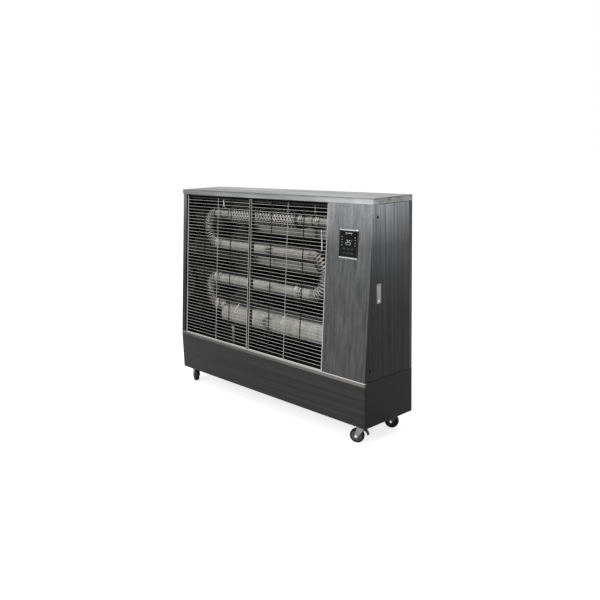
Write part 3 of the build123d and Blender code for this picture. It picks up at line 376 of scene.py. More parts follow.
def finish_piece(bm, name, materials, body, replaced=(), bevel=0.0, angle=35.0):
    """Turn a bmesh in millimetres into a piece in metres that rides on a body."""
    bmesh.ops.scale(bm, vec=(MM, MM, MM), verts=bm.verts)
    bmesh.ops.recalc_face_normals(bm, faces=bm.faces)
    mesh = bpy.data.meshes.new(name)
    bm.to_mesh(mesh)
    bm.free()
    mesh.shade_smooth()
    mesh.set_sharp_from_angle(angle=math.radians(angle))
    obj = bpy.data.objects.new(name, mesh)
    bpy.context.scene.collection.objects.link(obj)
    for material in materials:
        mesh.materials.append(MATERIALS[material])
    if bevel:
        edge = obj.modifiers.new("edge", "BEVEL")
        edge.width = bevel * MM
        edge.segments = 2
        edge.limit_method = "ANGLE"
        edge.angle_limit = math.radians(angle)
        edge.harden_normals = True
    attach(obj, body)
    if replaced:
        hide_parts(*replaced)
    return obj


def paint(bm, before, index):
    """Give the faces made since before a material index."""
    bm.faces.ensure_lookup_table()
    for face in bm.faces[before:]:
        face.material_index = index


def bridge(bm, near, far):
    """Ring of four-sided faces between two loops with as many points."""
    count = len(near)
    for k in range(count):
        after = (k + 1) % count
        bm.faces.new((near[k], near[after], far[after], far[k]))


def add_box(bm, low, high, index=0):
    """Box between two corners."""
    before = len(bm.faces)
    made = bmesh.ops.create_cube(bm, size=1.0)
    centre = (Vector(low) + Vector(high)) / 2
    span = Vector(high) - Vector(low)
    for vert in made["verts"]:
        vert.co = Vector(vert.co[i] * span[i] + centre[i] for i in range(3))
    paint(bm, before, index)


def add_hexahedron(bm, corners, index=0):
    """Closed block from four near and four far corners."""
    verts = [bm.verts.new(corner) for corner in corners]
    before = len(bm.faces)
    quads = ((0, 1, 2, 3), (7, 6, 5, 4), (0, 4, 5, 1), (1, 5, 6, 2), (2, 6, 7, 3), (3, 7, 4, 0))
    for quad in quads:
        bm.faces.new([verts[i] for i in quad])
    paint(bm, before, index)


def add_lathe(bm, centre, axis, profile, sides=48, closed=True, index=0):
    """Turned form: profile is (distance along the axis, radius); closed joins its ends."""
    axis = Vector(axis).normalized()
    side = axis.orthogonal().normalized()
    up = axis.cross(side)
    turns = [2 * math.pi * k / sides for k in range(sides)]
    around = [side * math.cos(turn) + up * math.sin(turn) for turn in turns]
    before = len(bm.faces)
    rings = []
    for along, radius in profile:
        hub = Vector(centre) + axis * along
        if radius < 1e-6:
            rings.append([bm.verts.new(hub)] * sides)
        else:
            rings.append([bm.verts.new(hub + direction * radius) for direction in around])
    pairs = list(zip(rings, rings[1:]))
    if closed:
        pairs.append((rings[-1], rings[0]))
    for near, far in pairs:
        for k in range(sides):
            corners = [near[k], near[(k + 1) % sides], far[(k + 1) % sides], far[k]]
            unique = list(dict.fromkeys(corners))
            if len(unique) > 2:
                bm.faces.new(unique)
    paint(bm, before, index)


def rounded(start, end, radius, edge):
    """Profile of a solid bar with rounded rims."""
    lip = edge * 0.3
    rim = [(0.0, radius - edge), (lip, radius - lip), (edge, radius)]
    near = [(start, 0.0)] + [(start + along, reach) for along, reach in rim]
    far = [(end - along, reach) for along, reach in reversed(rim)] + [(end, 0.0)]
    return near + far


def pipe_profile(start, end, radius, wall):
    """Profile of a hollow tube."""
    return [(start, radius - wall), (start, radius), (end, radius), (end, radius - wall)]


def mirrored(half):
    """Profile made of one half and its mirror image about the middle."""
    return half + [(-along, radius) for along, radius in reversed(half)]


def add_sweep(bm, points, radii, sides=24, index=0):
    """Round tube along points, with a radius for each."""
    before = len(bm.faces)
    rings = []
    side = None
    for k, point in enumerate(points):
        ahead = points[min(k + 1, len(points) - 1)] - points[max(k - 1, 0)]
        ahead = ahead.normalized()
        if side is None:
            side = ahead.orthogonal().normalized()
        side = (side - ahead * side.dot(ahead)).normalized()
        up = ahead.cross(side)
        ring = []
        for s in range(sides):
            turn = 2 * math.pi * s / sides
            ring.append(bm.verts.new(point + (side * math.cos(turn) + up * math.sin(turn)) * radii[k]))
        rings.append(ring)
    for near, far in zip(rings, rings[1:]):
        bridge(bm, near, far)
    bm.faces.new(rings[0])
    bm.faces.new(rings[-1][::-1])
    paint(bm, before, index)


def add_outline(bm, outline, place, depth, index=0):
    """Prism from a 2-D outline; place maps (u, v, w) to a point, w runs from 0 to depth."""
    before = len(bm.faces)
    near = [bm.verts.new(place(u, v, 0.0)) for u, v in outline]
    far = [bm.verts.new(place(u, v, depth)) for u, v in outline]
    bm.faces.new(near)
    bm.faces.new(far[::-1])
    bridge(bm, near, far)
    paint(bm, before, index)


def round_rect(width, height, radius, steps=5, centre=(0.0, 0.0)):
    """Outline of a rectangle with rounded corners."""
    points = []
    for corner, (sx, sy) in enumerate(((1, 1), (-1, 1), (-1, -1), (1, -1))):
        cx = centre[0] + sx * (width / 2 - radius)
        cy = centre[1] + sy * (height / 2 - radius)
        for k in range(steps + 1):
            turn = math.radians(90 * corner + 90 * k / steps)
            points.append((cx + radius * math.cos(turn), cy + radius * math.sin(turn)))
    return points


def add_rings(bm, loops, place):
    """Closed band through several loops; each is (outline, w), and the last joins the first."""
    rings = [[bm.verts.new(place(u, v, w)) for u, v in outline] for outline, w in loops]
    for near, far in zip(rings, rings[1:] + rings[:1]):
        bridge(bm, near, far)


# Sheets and fittings that keep the part's own shape


def refine(node, material, body, bevel):
    """The node's own shape, cleaned and given rolled edges, in place of the node."""
    bm = bmesh.new()
    bm.from_mesh(NODES[node].data)
    bmesh.ops.remove_doubles(bm, verts=bm.verts, dist=1e-6)
    bmesh.ops.dissolve_limit(bm, angle_limit=math.radians(0.5), verts=bm.verts, edges=bm.edges)
    bmesh.ops.scale(bm, vec=(1 / MM,) * 3, verts=bm.verts)
    finish_piece(bm, f"{node}_finished", [material], body, [node], bevel, 30.0)


def dress(node, material):
    """A better material on a CAD node that keeps its shape."""
    for mesh_slot in NODES[node].material_slots:
        mesh_slot.material = MATERIALS[material]


REFINED = (
    ("base_tray", "base", "casing", "stainless", 0.6),
    ("sill_rail", "sill", "casing", "stainless", 0.5),
    ("top_lid", "lid", "casing", "stainless", 0.5),
    ("left_side_panel", "door", "casing", "stainless", 0.4),
    ("left_front_post", "post", "casing", "stainless", 0.5),
    ("control_front_panel", "panel", "casing", "stainless", 0.6),
    ("rear_panel", "rear", "casing", "stainless", 0.5),
    ("side_door", "door", "door", "stainless", 0.5),
    ("mullion", "inner", "casing", "stainless", 0.4),
    ("header_rail", "inner", "casing", "stainless", 0.4),
    ("burner_housing", "cast", "casing", "burner", 1.0),
    ("blower_wheel", "cast", "blower", "burner", 0.3),
    ("burner_motor", "tank", "casing", "burner", 2.0),
    ("fuel_pump", "cast", "casing", "burner", 1.0),
    ("fuel_cap", "red", "fuel_cap", "red_plastic", 1.0),
    ("latch_case", "latch", "door", "chrome", 0.4),
    ("latch_lever", "latch", "latch_lever", "chrome", 0.5),
    ("latch_button", "chrome", "latch_button", "black_plastic", 0.5),
    ("cable_gland", "black", "casing", "black_plastic", 0.6),
    ("caster_plates", "zinc", "casing", "galvanised", 0.4),
)
DRESSED = (
    ("bulkhead", "inner"),
    ("end_heat_shield", "reflector"),
    ("reflector", "reflector"),
    ("deck_plate", "reflector"),
    ("blast_tube", "zinc"),
    ("fuel_tank", "tank"),
    ("control_box", "zinc"),
    ("door_hinge_pins", "zinc"),
    ("latch_bolt", "zinc"),
)
for node, look, body, slot, bevel in REFINED:
    refine(node, look, body, bevel)
for node, look in DRESSED:
    dress(node, look)


# Grilles
BAR, BAR_DEPTH, BAR_SETBACK, BAR_TRIM = 5.0, 7.0, 1.0, 2.0
WIRE_COUNT, WIRE_STEPS = 43, 6
WIRE_RADIUS, WIRE_SETBACK, WIRE_OVERLAP, WIRE_SAG = 1.1, 2.6, 1.0, 0.15
STAYS = (
    # share of the width, setback, radius, material index
    (0.29, 3.6, 2.6, 1),
    (0.50, 5.8, 1.4, 0),
    (0.71, 3.6, 2.6, 1),
)


def add_bar(bm, x0, x1, z0, z1, index=0):
    """Flat bar that leans with the front."""
    ring = ((x0, z0), (x1, z0), (x1, z1), (x0, z1))
    front = [(x, front_at(z) + BAR_SETBACK, z) for x, z in ring]
    back = [(x, front_at(z) + BAR_SETBACK + BAR_DEPTH, z) for x, z in ring]
    add_hexahedron(bm, front + back, index)


def build_grille(node, trim_left, trim_right):
    """Flat bars, round cross wires and upright stays; the trims narrow the bars by the mullion."""
    (left, _, low), (right, _, high) = box(node)
    bm = bmesh.new()
    add_bar(bm, left + trim_left, left + BAR, low, high)
    add_bar(bm, right - BAR, right - trim_right, low, high)
    add_bar(bm, left + BAR, right - BAR, low, low + BAR)
    # The top bar takes the black plug material as painted shade
    add_bar(bm, left + BAR, right - BAR, high - BAR, high, 2)
    pitch = (high - low - 2 * BAR) / (WIRE_COUNT + 1)
    start, end = left + BAR - WIRE_OVERLAP, right - BAR + WIRE_OVERLAP
    for k in range(WIRE_COUNT):
        z = low + BAR + pitch * (k + 1)
        sag = random.uniform(-WIRE_SAG, WIRE_SAG)
        line = []
        for s in range(WIRE_STEPS + 1):
            share = s / WIRE_STEPS
            x = start + (end - start) * share
            line.append(Vector((x, front_at(z) + WIRE_SETBACK, z + sag * math.sin(math.pi * share))))
        add_sweep(bm, line, [WIRE_RADIUS] * len(line), 8)
    for share, setback, radius, index in STAYS:
        x = left + (right - left) * share
        ends = [Vector((x, front_at(z) + setback, z)) for z in (low + 1, high - 1)]
        add_sweep(bm, ends, [radius] * 2, 8, index)
    finish_piece(bm, f"{node}_wires", ["wire", "dark_and_shade", "plug"], "casing", [node], 0.7, 50)


build_grille("grille_left", 0.0, BAR_TRIM)
build_grille("grille_right", BAR_TRIM, 0.0)


# Tube run
ALONG_X = (1, 0, 0)
UPWARD = (0, 0, 1)
BEND_SIDES, RIB_STEPS = 36, 8
VALLEY_DEPTH, RIB_HEIGHT = 1.8, 4.2


def ribbed(node, centre_x, low_z, high_z, tube, start, ribs, plain=0.0):
    """Flexible half-turn bend with close corrugations, smooth over a plain share at each end; painted shade
    darkens the valleys.
    """
    bm = bmesh.new()
    radius, centre_z = (high_z - low_z) / 2, (high_z + low_z) / 2
    steps = ribs * RIB_STEPS
    points, radii = [], []
    for k in range(steps + 1):
        share = k / steps
        turn = math.radians(start + 180 * share)
        x, z = centre_x + radius * math.cos(turn), centre_z + radius * math.sin(turn)
        points.append(Vector((x, TUBE_Y, z)))
        wave = abs(math.sin(math.pi * k / RIB_STEPS)) if plain < share < 1 - plain else 0.5
        radii.append(tube - VALLEY_DEPTH + RIB_HEIGHT * wave)
    add_sweep(bm, points, radii, BEND_SIDES)
    # Painted shade: the faces at each valley take the dark material
    for k in range(int(plain * steps) + 1, int((1 - plain) * steps)):
        if k % RIB_STEPS in (0, RIB_STEPS - 1):
            for face in bm.faces[BEND_SIDES * k : BEND_SIDES * (k + 1)]:
                face.material_index = 1
    finish_piece(bm, f"{node}_ribs", ["bend", "dark_and_shade"], "casing", [node], angle=60)


ribbed("lower_left_bend", LOWER_X, LOWER_Z, MIDDLE_Z, MAIN_RADIUS, 90, 15)
ribbed("upper_left_bend", UPPER_X, UPPER_Z, TOP_TUBE_Z, UPPER_RADIUS, 90, 17)
ribbed("right_bend", RIGHT_X, MIDDLE_Z, UPPER_Z, MAIN_RADIUS, -90, 19, 0.13)

DRUM_WALL, DOME = 3.0, 26.0
DRUM_SEAMS = (120.0, 470.0, 760.0)
OUTLET_LENGTH = 100.0


def build_drum():
    """Large bottom tube with a domed end, three seam beads and the pipe to the lower bend."""
    bm = bmesh.new()
    origin = (DRUM_X, TUBE_Y, DRUM_Z)
    bore = DRUM_RADIUS - DRUM_WALL
    profile = [(0.0, 0.0)]
    for angle in range(0, 91, 15):
        turn = math.radians(angle)
        profile.append((DOME - DOME * math.cos(turn), DRUM_RADIUS - DOME + DOME * math.sin(turn)))
    profile += [(DRUM_LENGTH, DRUM_RADIUS), (DRUM_LENGTH, bore), (DOME, bore), (DOME, 0.0)]
    add_lathe(bm, origin, ALONG_X, profile, 64, closed=False)
    outlet = pipe_profile(0, OUTLET_LENGTH, MAIN_RADIUS, TUBE_WALL)
    add_lathe(bm, (LOWER_X, TUBE_Y, LOWER_Z), ALONG_X, outlet, 48)
    for seam in DRUM_SEAMS:
        foot, crest = DRUM_RADIUS - 0.2, DRUM_RADIUS + 1.1
        bead = [(seam - 4, foot), (seam - 2, crest), (seam + 2, crest), (seam + 4, foot)]
        add_lathe(bm, origin, ALONG_X, bead, 64)
    finish_piece(bm, "combustion_drum", ["tube"], "casing", ["combustion_chamber"])


def build_tube(node, left, z, radius):
    """Straight tube that ends at the right bend."""
    bm = bmesh.new()
    add_lathe(bm, (0, TUBE_Y, z), ALONG_X, pipe_profile(left, RIGHT_X, radius, TUBE_WALL), 56)
    finish_piece(bm, f"{node}_run", ["tube"], "casing", [node])


ELBOW_RADIUS, ELBOW_STEPS = 52.0, 12
SLEEVE_END = 5.0


def build_exhaust():
    """Top tube, with painted shade where it runs under the sleeve, and a quarter turn back to the flue."""
    bm = bmesh.new()
    elbow_x = FLUE_X - ELBOW_RADIUS
    stops = (UPPER_X, SLEEVE_LEFT + SLEEVE_END, SLEEVE_RIGHT - SLEEVE_END, elbow_x)
    line = [Vector((x, TUBE_Y, TOP_TUBE_Z)) for x in stops]
    for k in range(1, ELBOW_STEPS + 1):
        turn = math.radians(90 * k / ELBOW_STEPS)
        x = elbow_x + ELBOW_RADIUS * math.sin(turn)
        y = TUBE_Y + ELBOW_RADIUS - ELBOW_RADIUS * math.cos(turn)
        line.append(Vector((x, y, TOP_TUBE_Z)))
    line.append(Vector((FLUE_X, FLUE_START, TOP_TUBE_Z)))
    add_sweep(bm, line, [EXHAUST_RADIUS] * len(line), 48)
    # Painted shade: the faces under the sleeve take the dark material
    for face in bm.faces:
        if SLEEVE_LEFT < face.calc_center_median().x < SLEEVE_RIGHT:
            face.material_index = 1
    finish_piece(bm, "exhaust_tube_run", ["tube", "dark_and_shade"], "casing", ["exhaust_tube"])


build_drum()
build_tube("middle_tube", LOWER_X, MIDDLE_Z, MAIN_RADIUS)
build_tube("upper_tube", UPPER_X, UPPER_Z, UPPER_RADIUS)
build_exhaust()


# Perforated sleeve: staggered round holes, one in each cell of a grid wrapped round the tube
HOLE_COLUMNS, HOLE_ROWS, HOLE_RADIUS = 24, 22, 4.4
SLEEVE_WALL = 1.2
CELL_WIDE = (SLEEVE_RIGHT - SLEEVE_LEFT) / (HOLE_COLUMNS + 0.5)
CELL_TALL = 2 * math.pi * SLEEVE_RADIUS / HOLE_ROWS


def on_sleeve(x, arc):
    """Point on the sleeve at distance arc round it."""
    turn = arc / SLEEVE_RADIUS
    return (x, TUBE_Y + SLEEVE_RADIUS * math.cos(turn), TOP_TUBE_Z + SLEEVE_RADIUS * math.sin(turn))


def cell_border():
    """Sixteen points round a cell, four along each side."""
    border = []
    for u, v, du, dv in ((1, -1, 0, 1), (1, 1, -1, 0), (-1, 1, 0, -1), (-1, -1, 1, 0)):
        for k in range(4):
            border.append(((u + du * k / 2) * CELL_WIDE / 2, (v + dv * k / 2) * CELL_TALL / 2))
    return border


def hole_rim(border):
    """Points round a hole, one for each point of the border."""
    turns = [math.atan2(v / CELL_TALL, u / CELL_WIDE) for u, v in border]
    return [(HOLE_RADIUS * math.cos(turn), HOLE_RADIUS * math.sin(turn)) for turn in turns]


def build_sleeve():
    """Thin perforated tube round the exhaust tube."""
    bm = bmesh.new()
    border = cell_border()
    rim = hole_rim(border)
    for row in range(HOLE_ROWS):
        for column in range(HOLE_COLUMNS):
            x = SLEEVE_LEFT + CELL_WIDE * (column + 0.5 + 0.5 * (row % 2))
            arc = (row + 0.5) * CELL_TALL
            outside = [bm.verts.new(on_sleeve(x + u, arc + v)) for u, v in border]
            inside = [bm.verts.new(on_sleeve(x + u, arc + v)) for u, v in rim]
            bridge(bm, outside, inside)
    bmesh.ops.remove_doubles(bm, verts=bm.verts, dist=0.01)
    sleeve = finish_piece(
        bm, "sleeve_perforated", ["sleeve"], "casing", ["perforated_sleeve"], angle=50
    )
    thick = sleeve.modifiers.new("thick", "SOLIDIFY")
    thick.thickness = SLEEVE_WALL * MM
    thick.offset = -1.0


build_sleeve()


# Collars, hangers, saddles and the flue spigot
COLLAR_INSET, WIDE_COLLAR, NARROW_COLLAR = 20.0, 40.0, 20.0
COLLARS = (
    # x, z, radius of the tube, width
    (UPPER_X + COLLAR_INSET, UPPER_Z, UPPER_RADIUS, WIDE_COLLAR),
    (LOWER_X + COLLAR_INSET, MIDDLE_Z, MAIN_RADIUS, WIDE_COLLAR),
    (RIGHT_X - 80, MIDDLE_Z, MAIN_RADIUS, WIDE_COLLAR),
    (LOWER_X + COLLAR_INSET, LOWER_Z, MAIN_RADIUS, WIDE_COLLAR),
    (180.0, TOP_TUBE_Z, EXHAUST_RADIUS, NARROW_COLLAR),
    (BULKHEAD_X - 120, TOP_TUBE_Z, EXHAUST_RADIUS, NARROW_COLLAR),
)


def build_collars():
    """Clamping collars with beaded rims, ears and bolts, and the sleeve's two end rings."""
    bm = bmesh.new()
    gap, wall, step, bead = 0.1, 2.5, 3.0, 4.0
    ear_near, ear_far, ear_half, ear_share = 1.0, 9.0, 3.0, 0.7
    bolt_out, bolt_half, bolt_radius = 6, 5, 3
    ring_length, ring_wall = 4, 8.5
    for x, z, radius, width in COLLARS:
        half = width / 2
        rim = [(-half, radius + gap), (-half, radius + step)]
        rim += [(-half + step, radius + bead), (-half + 2 * step, radius + wall)]
        add_lathe(bm, (x, TUBE_Y, z), ALONG_X, mirrored(rim))
        front = TUBE_Y - radius
        reach = half * ear_share
        low = (x - reach, front - ear_far, z - ear_half)
        add_box(bm, low, (x + reach, front - ear_near, z + ear_half))
        bolt = rounded(-bolt_half, bolt_half, bolt_radius, 0.6)
        add_lathe(bm, (x, front - bolt_out, z), UPWARD, bolt, 12)
    for x in (SLEEVE_LEFT - 1, SLEEVE_RIGHT + 1 - ring_length):
        end_ring = pipe_profile(0, ring_length, SLEEVE_RADIUS + 1, ring_wall)
        add_lathe(bm, (x, TUBE_Y, TOP_TUBE_Z), ALONG_X, end_ring)
    finish_piece(bm, "collar_set", ["tube"], "casing", ["tube_collars"])


ROD_RADIUS, ROD_EDGE, ROD_LENGTH, ROD_GAP = 3.6, 0.5, 46.5, 1.0
NUT_RADIUS, NUT_HEIGHT, NUT_LIFT = 7, 6, 4
STRAP_HALF, STRAP_FIT, STRAP_OUTSIDE = 9, 0.1, 3.5
HANGERS = ((UPPER_X + 40, 1), (RIGHT_X + 20, 0))
TIE_X, TIE_LOW = BULKHEAD_X - 123, 774.0
SADDLE_LOW, SADDLE_TOP = box("tube_supports")[0][Z], 352.0
SADDLES = (DRUM_X + 80, BULKHEAD_X - 80)
SADDLE_HALF, SADDLE_POST, SADDLE_FOOT, SADDLE_FOOT_HALF = 10, 8, 2.9, 58
SADDLE_POSTS = (-50, 42)


def build_supports():
    """Hanger straps and rods of the top tube, a tie rod, and two saddles under the drum."""
    bm = bmesh.new()
    for x, look in HANGERS:
        strap = mirrored([(-STRAP_HALF, EXHAUST_RADIUS + lift) for lift in (STRAP_FIT, STRAP_OUTSIDE)])
        add_lathe(bm, (x, TUBE_Y, TOP_TUBE_Z), ALONG_X, strap)
        rod_foot = (x, TUBE_Y, TOP_TUBE_Z + EXHAUST_RADIUS + ROD_GAP)
        add_lathe(bm, rod_foot, UPWARD, rounded(0, ROD_LENGTH, ROD_RADIUS, ROD_EDGE), 16, index=look)
        nut_foot = (x, TUBE_Y, TOP_TUBE_Z + EXHAUST_RADIUS + NUT_LIFT)
        add_lathe(bm, nut_foot, UPWARD, rounded(0, NUT_HEIGHT, NUT_RADIUS, 0.8), 6, index=look)
    tie_length = TOP_TUBE_Z - EXHAUST_RADIUS - ROD_GAP - TIE_LOW
    tie = rounded(0, tie_length, ROD_RADIUS, ROD_EDGE)
    add_lathe(bm, (TIE_X, TUBE_Y, TIE_LOW), UPWARD, tie, 16, index=1)
    for x in SADDLES:
        left, right = x - SADDLE_HALF, x + SADDLE_HALF
        for post in SADDLE_POSTS:
            front = TUBE_Y + post
            add_box(bm, (left, front, SADDLE_LOW), (right, front + SADDLE_POST, SADDLE_TOP))
        foot_low = (left, TUBE_Y - SADDLE_FOOT_HALF, SADDLE_LOW)
        add_box(bm, foot_low, (right, TUBE_Y + SADDLE_FOOT_HALF, SADDLE_LOW + SADDLE_FOOT))
    finish_piece(bm, "support_set", ["tube", "chrome"], "casing", ["tube_supports"], 0.4)


def build_spigot():
    """Flue spigot with a stop bead outside the rear panel and a square flange inside it."""
    bm = bmesh.new()
    bore, outside, bead = 35.5, 37.5, 39.5
    # The first point on the third line only keeps the shading even up to the rounded end
    profile = [(FLUE_START, bore), (FLUE_START, outside), (BACK_Y - 1.5, outside), (BACK_Y - 1.5, bead)]
    profile += [(BACK_Y + 2, bead), (BACK_Y + 3, outside)]
    profile += [(FLUE_END - 11, outside), (FLUE_END - 1, outside)]
    profile += [(FLUE_END, outside - 0.3), (FLUE_END, bore + 0.3), (FLUE_END - 1, bore)]
    add_lathe(bm, (FLUE_X, 0, TOP_TUBE_Z), (0, 1, 0), profile, 64)
    outer, inner = round_rect(99, 99, 6), round_rect(74, 74, 36)
    loops = ((outer, 0.0), (outer, 1.5), (inner, 1.5), (inner, 0.0))
    add_rings(bm, loops, lambda u, v, w: (FLUE_X + u, BACK_Y - 3 + w, TOP_TUBE_Z + v))
    finish_piece(bm, "flue_spigot_tube", ["tube"], "casing", ["flue_spigot"], 0.2)


build_collars()
build_supports()
build_spigot()


# Control unit on the leaning panel
CONTROL_X, CONTROL_Z = middle("control_bezel", X), 837.0
CONTROL_AT = Vector((CONTROL_X, front_at(CONTROL_Z), CONTROL_Z))
PANEL_RIGHT = Vector((1, 0, 0))
PANEL_UP = Vector((0, LEAN, 1)).normalized()
PANEL_OUT = Vector((0, -1, LEAN)).normalized()
BEZEL_LEVELS = (
    # width, height, corner radius, distance out of the panel
    (104.0, 120.0, 5.0, 0.05),
    (104.0, 120.0, 5.0, 1.4),
    (101.0, 117.0, 4.0, 3.0),
    (95.0, 111.0, 3.0, 3.0),
    (92.0, 108.0, 2.5, 1.6),
    (92.0, 108.0, 2.5, -3.0),
)
BEZEL_SIDE, BEZEL_END = 45.5, 55.0


def on_panel(u, v, w):
    """Point u across, v up and w out of the leaning panel, from the control unit's middle."""
    return CONTROL_AT + PANEL_RIGHT * u + PANEL_UP * v + PANEL_OUT * w


def build_bezel():
    """Stepped rim of the control unit, bright along its top and bottom and dark at its sides."""
    bm = bmesh.new()
    loops = [(round_rect(wide, tall, radius), out) for wide, tall, radius, out in BEZEL_LEVELS]
    add_rings(bm, loops, on_panel)
    for face in bm.faces:
        offset = face.calc_center_median() - CONTROL_AT
        if abs(offset.x) > BEZEL_SIDE and abs(offset.dot(PANEL_UP)) < BEZEL_END:
            face.material_index = 1
    finish_piece(bm, "control_bezel_rim", ["chrome", "rim"], "casing", ["control_bezel"], angle=25)


def build_face():
    """Black glossy plate inside the bezel."""
    bm = bmesh.new()
    add_outline(bm, round_rect(91.4, 107.4, 2.2), lambda u, v, w: on_panel(u, v, w - 1.0), 2.2)
    finish_piece(bm, "control_face", ["gloss"], "casing", ["control_plate"], 0.4)


MARK_LIFT, MARK_THICK = 1.22, 0.12


def flat_mark(bm, u, v, width, height, radius=0.4):
    """Thin printed mark on the control face."""
    outline = round_rect(width, height, radius, 2, (u, v))
    add_outline(bm, outline, lambda a, b, w: on_panel(a, b, w + MARK_LIFT), MARK_THICK)


SEGMENTS = {"2": "abged", "5": "afgcd"}


def digit(bm, text, u, v, size):
    """Seven-segment figure."""
    half, tall, bar = size * 0.28, size / 2, size * 0.13
    places = {
        "a": (0, tall, True),
        "g": (0, 0, True),
        "d": (0, -tall, True),
        "f": (-half, tall / 2, False),
        "b": (half, tall / 2, False),
        "e": (-half, -tall / 2, False),
        "c": (half, -tall / 2, False),
    }
    for segment in SEGMENTS[text]:
        du, dv, flat = places[segment]
        width, height = (half * 1.7, bar) if flat else (bar, tall * 0.8)
        flat_mark(bm, u + du, v + dv, width, height, bar * 0.3)


DIGIT_SIZE, DIGIT_V = 17, 6
SIDE_MARKS, SIDE_MARK_U, SIDE_MARK_TOP, SIDE_MARK_PITCH = 4, 36, 28, 11


def build_marks():
    """Figures of the display, a bar over them and a column of short marks at either side."""
    bm = bmesh.new()
    digit(bm, "2", -9, DIGIT_V, DIGIT_SIZE)
    digit(bm, "5", 6, DIGIT_V, DIGIT_SIZE)
    flat_mark(bm, 17, 13, 2.6, 2.6, 1.2)
    flat_mark(bm, 0, 44, 38, 2.6)
    flat_mark(bm, -14, 39, 6, 1.0)
    flat_mark(bm, 14, 39, 6, 1.0)
    for row in range(SIDE_MARKS):
        for u in (-SIDE_MARK_U, SIDE_MARK_U):
            flat_mark(bm, u, SIDE_MARK_TOP - SIDE_MARK_PITCH * row, 5.5, 2.0)
    finish_piece(bm, "control_marks", ["mark"], "casing")


KEYS = ("power", "timer", "mode", "down", "up", "lock")
KEYS_PER_ROW = 3
KEY_PITCH_U, KEY_PITCH_V, KEYS_V = 22.0, 17.0, -29.0
KEY_WIDTH, KEY_HEIGHT, KEY_FOOT, KEY_DEPTH = 16, 9, -2.0, 4.2


def build_key(place, key):
    """One key with a dim mark; place counts along the rows from the top left."""
    column, row = place % KEYS_PER_ROW, place // KEYS_PER_ROW
    centre = (KEY_PITCH_U * (column - 1), KEYS_V + KEY_PITCH_V * (0.5 - row))
    bm = bmesh.new()
    outline = round_rect(KEY_WIDTH, KEY_HEIGHT, 1.8, 5, centre)
    add_outline(bm, outline, lambda u, v, w: on_panel(u, v, w + KEY_FOOT), KEY_DEPTH)
    mark = round_rect(6.5, 2.4, 0.6, 2, centre)
    add_outline(bm, mark, lambda u, v, w: on_panel(u, v, w + 2.15), MARK_THICK, 1)
    finish_piece(bm, f"key_{key}", ["key", "dim"], f"button_{key}", [f"button_{key}"], 0.5)


build_bezel()
build_face()
build_marks()
for place, key in enumerate(KEYS):
    build_key(place, key)


# Door plugs and rear screws
SCREW_COLUMNS, SCREW_START, SCREW_PITCH, SCREW_ROWS = 7, -600, 200, (300.0, 985.0)
SIDE_SCREW_X, SIDE_SCREW_HEIGHTS = 645.0, (470.0, 640.0, 810.0)


def build_plugs():
    """Small black caps in the door's two holes."""
    bm = bmesh.new()
    cap = [(-1.5, 0), (-1.5, 3.8), (0.0, 3.8), (0.0, 5.2), (0.7, 5.0), (1.2, 3.4), (1.3, 0)]
    crown = cap[-1][0]
    for x, y, z in PLUGS:
        add_lathe(bm, (x - crown, y, z), ALONG_X, cap, 24, closed=False)
    finish_piece(bm, "door_plugs", ["plug"], "door")


def build_screws():
    """Dished screw heads round the rear panel."""
    bm = bmesh.new()
    head = [(0.0, 0.0), (0.0, 4.0), (0.8, 3.8), (1.5, 2.6), (1.6, 0.9), (0.9, 0.8), (0.9, 0.0)]
    places = [(SCREW_START + SCREW_PITCH * k, z) for k in range(SCREW_COLUMNS) for z in SCREW_ROWS]
    places += [(x, z) for z in SIDE_SCREW_HEIGHTS for x in (-SIDE_SCREW_X, SIDE_SCREW_X)]
    for x, z in places:
        add_lathe(bm, (x, BACK_Y - 0.05, z), (0, 1, 0), head, 14, closed=False)
    finish_piece(bm, "rear_screws", ["zinc"], "casing")


build_plugs()
build_screws()


# Casters
CASTERS = (
    # place, x and y of the kingpin, heading in degrees, with a brake pedal
    ("front_right", 600.0, -130.0, 24, True),
    ("rear_right", 600.0, 94.0, 25, False),
    ("front_left", -600.0, -130.0, -21, True),
    ("rear_left", -600.0, 94.0, -17, False),
)
AXLE_Z, TRAIL, CROWN = 31.5, 19.0, 70.2
FORK_INSIDE, FORK_OUTSIDE, SHOULDER_INSIDE = 13.4, 15.9, 6.5
FORK_HALF, FORK_TOE, FORK_EYE = 15.5, 8.0, 8.5
PEDAL_U, PEDAL_V, PEDAL_WIDTH = 8.0, CROWN - 10.0, 20.4
RIB_COUNT, RIB_WIDTH = 4, 17.0
HUB_REACH = 23.5
SPOKES, SPOKE_START, SPOKE_END, SPOKE_HALF, SPOKE_NEAR, SPOKE_FAR = 6, 8.5, 23.0, 1.6, 6.5, 9.0
TREAD = mirrored([
    # along the axle, radius: hub boss, web, rim and tyre
    (-11, 4.06), (-11, 8.5), (-10, 9.5), (-7, 10), (-7, 22),
    (-9.6, 24), (-11, 26.5), (-10.4, 29), (-8.2, 30.7), (-5, 31.5),
])
CROWN_PROFILE = [(0.0, 5.8), (0.0, 17.0), (0.6, 20.0), (2.2, 20.6), (2.8, 19.5), (2.8, 5.8)]
PEDAL_TOP = [(8, 4.2), (14, 3.6), (21, 0.2), (27, -7.0), (33.5, -20.5), (31.0, -22.0)]
PEDAL_UNDER = [(29.0, -19.5), (23.5, -9.5), (18.5, -4.5), (12.5, -2.2)]
PEDAL_EYE = [(8, -4.4), (4.2, -2.6), (3.4, 0.4), (5.0, 3.2)]


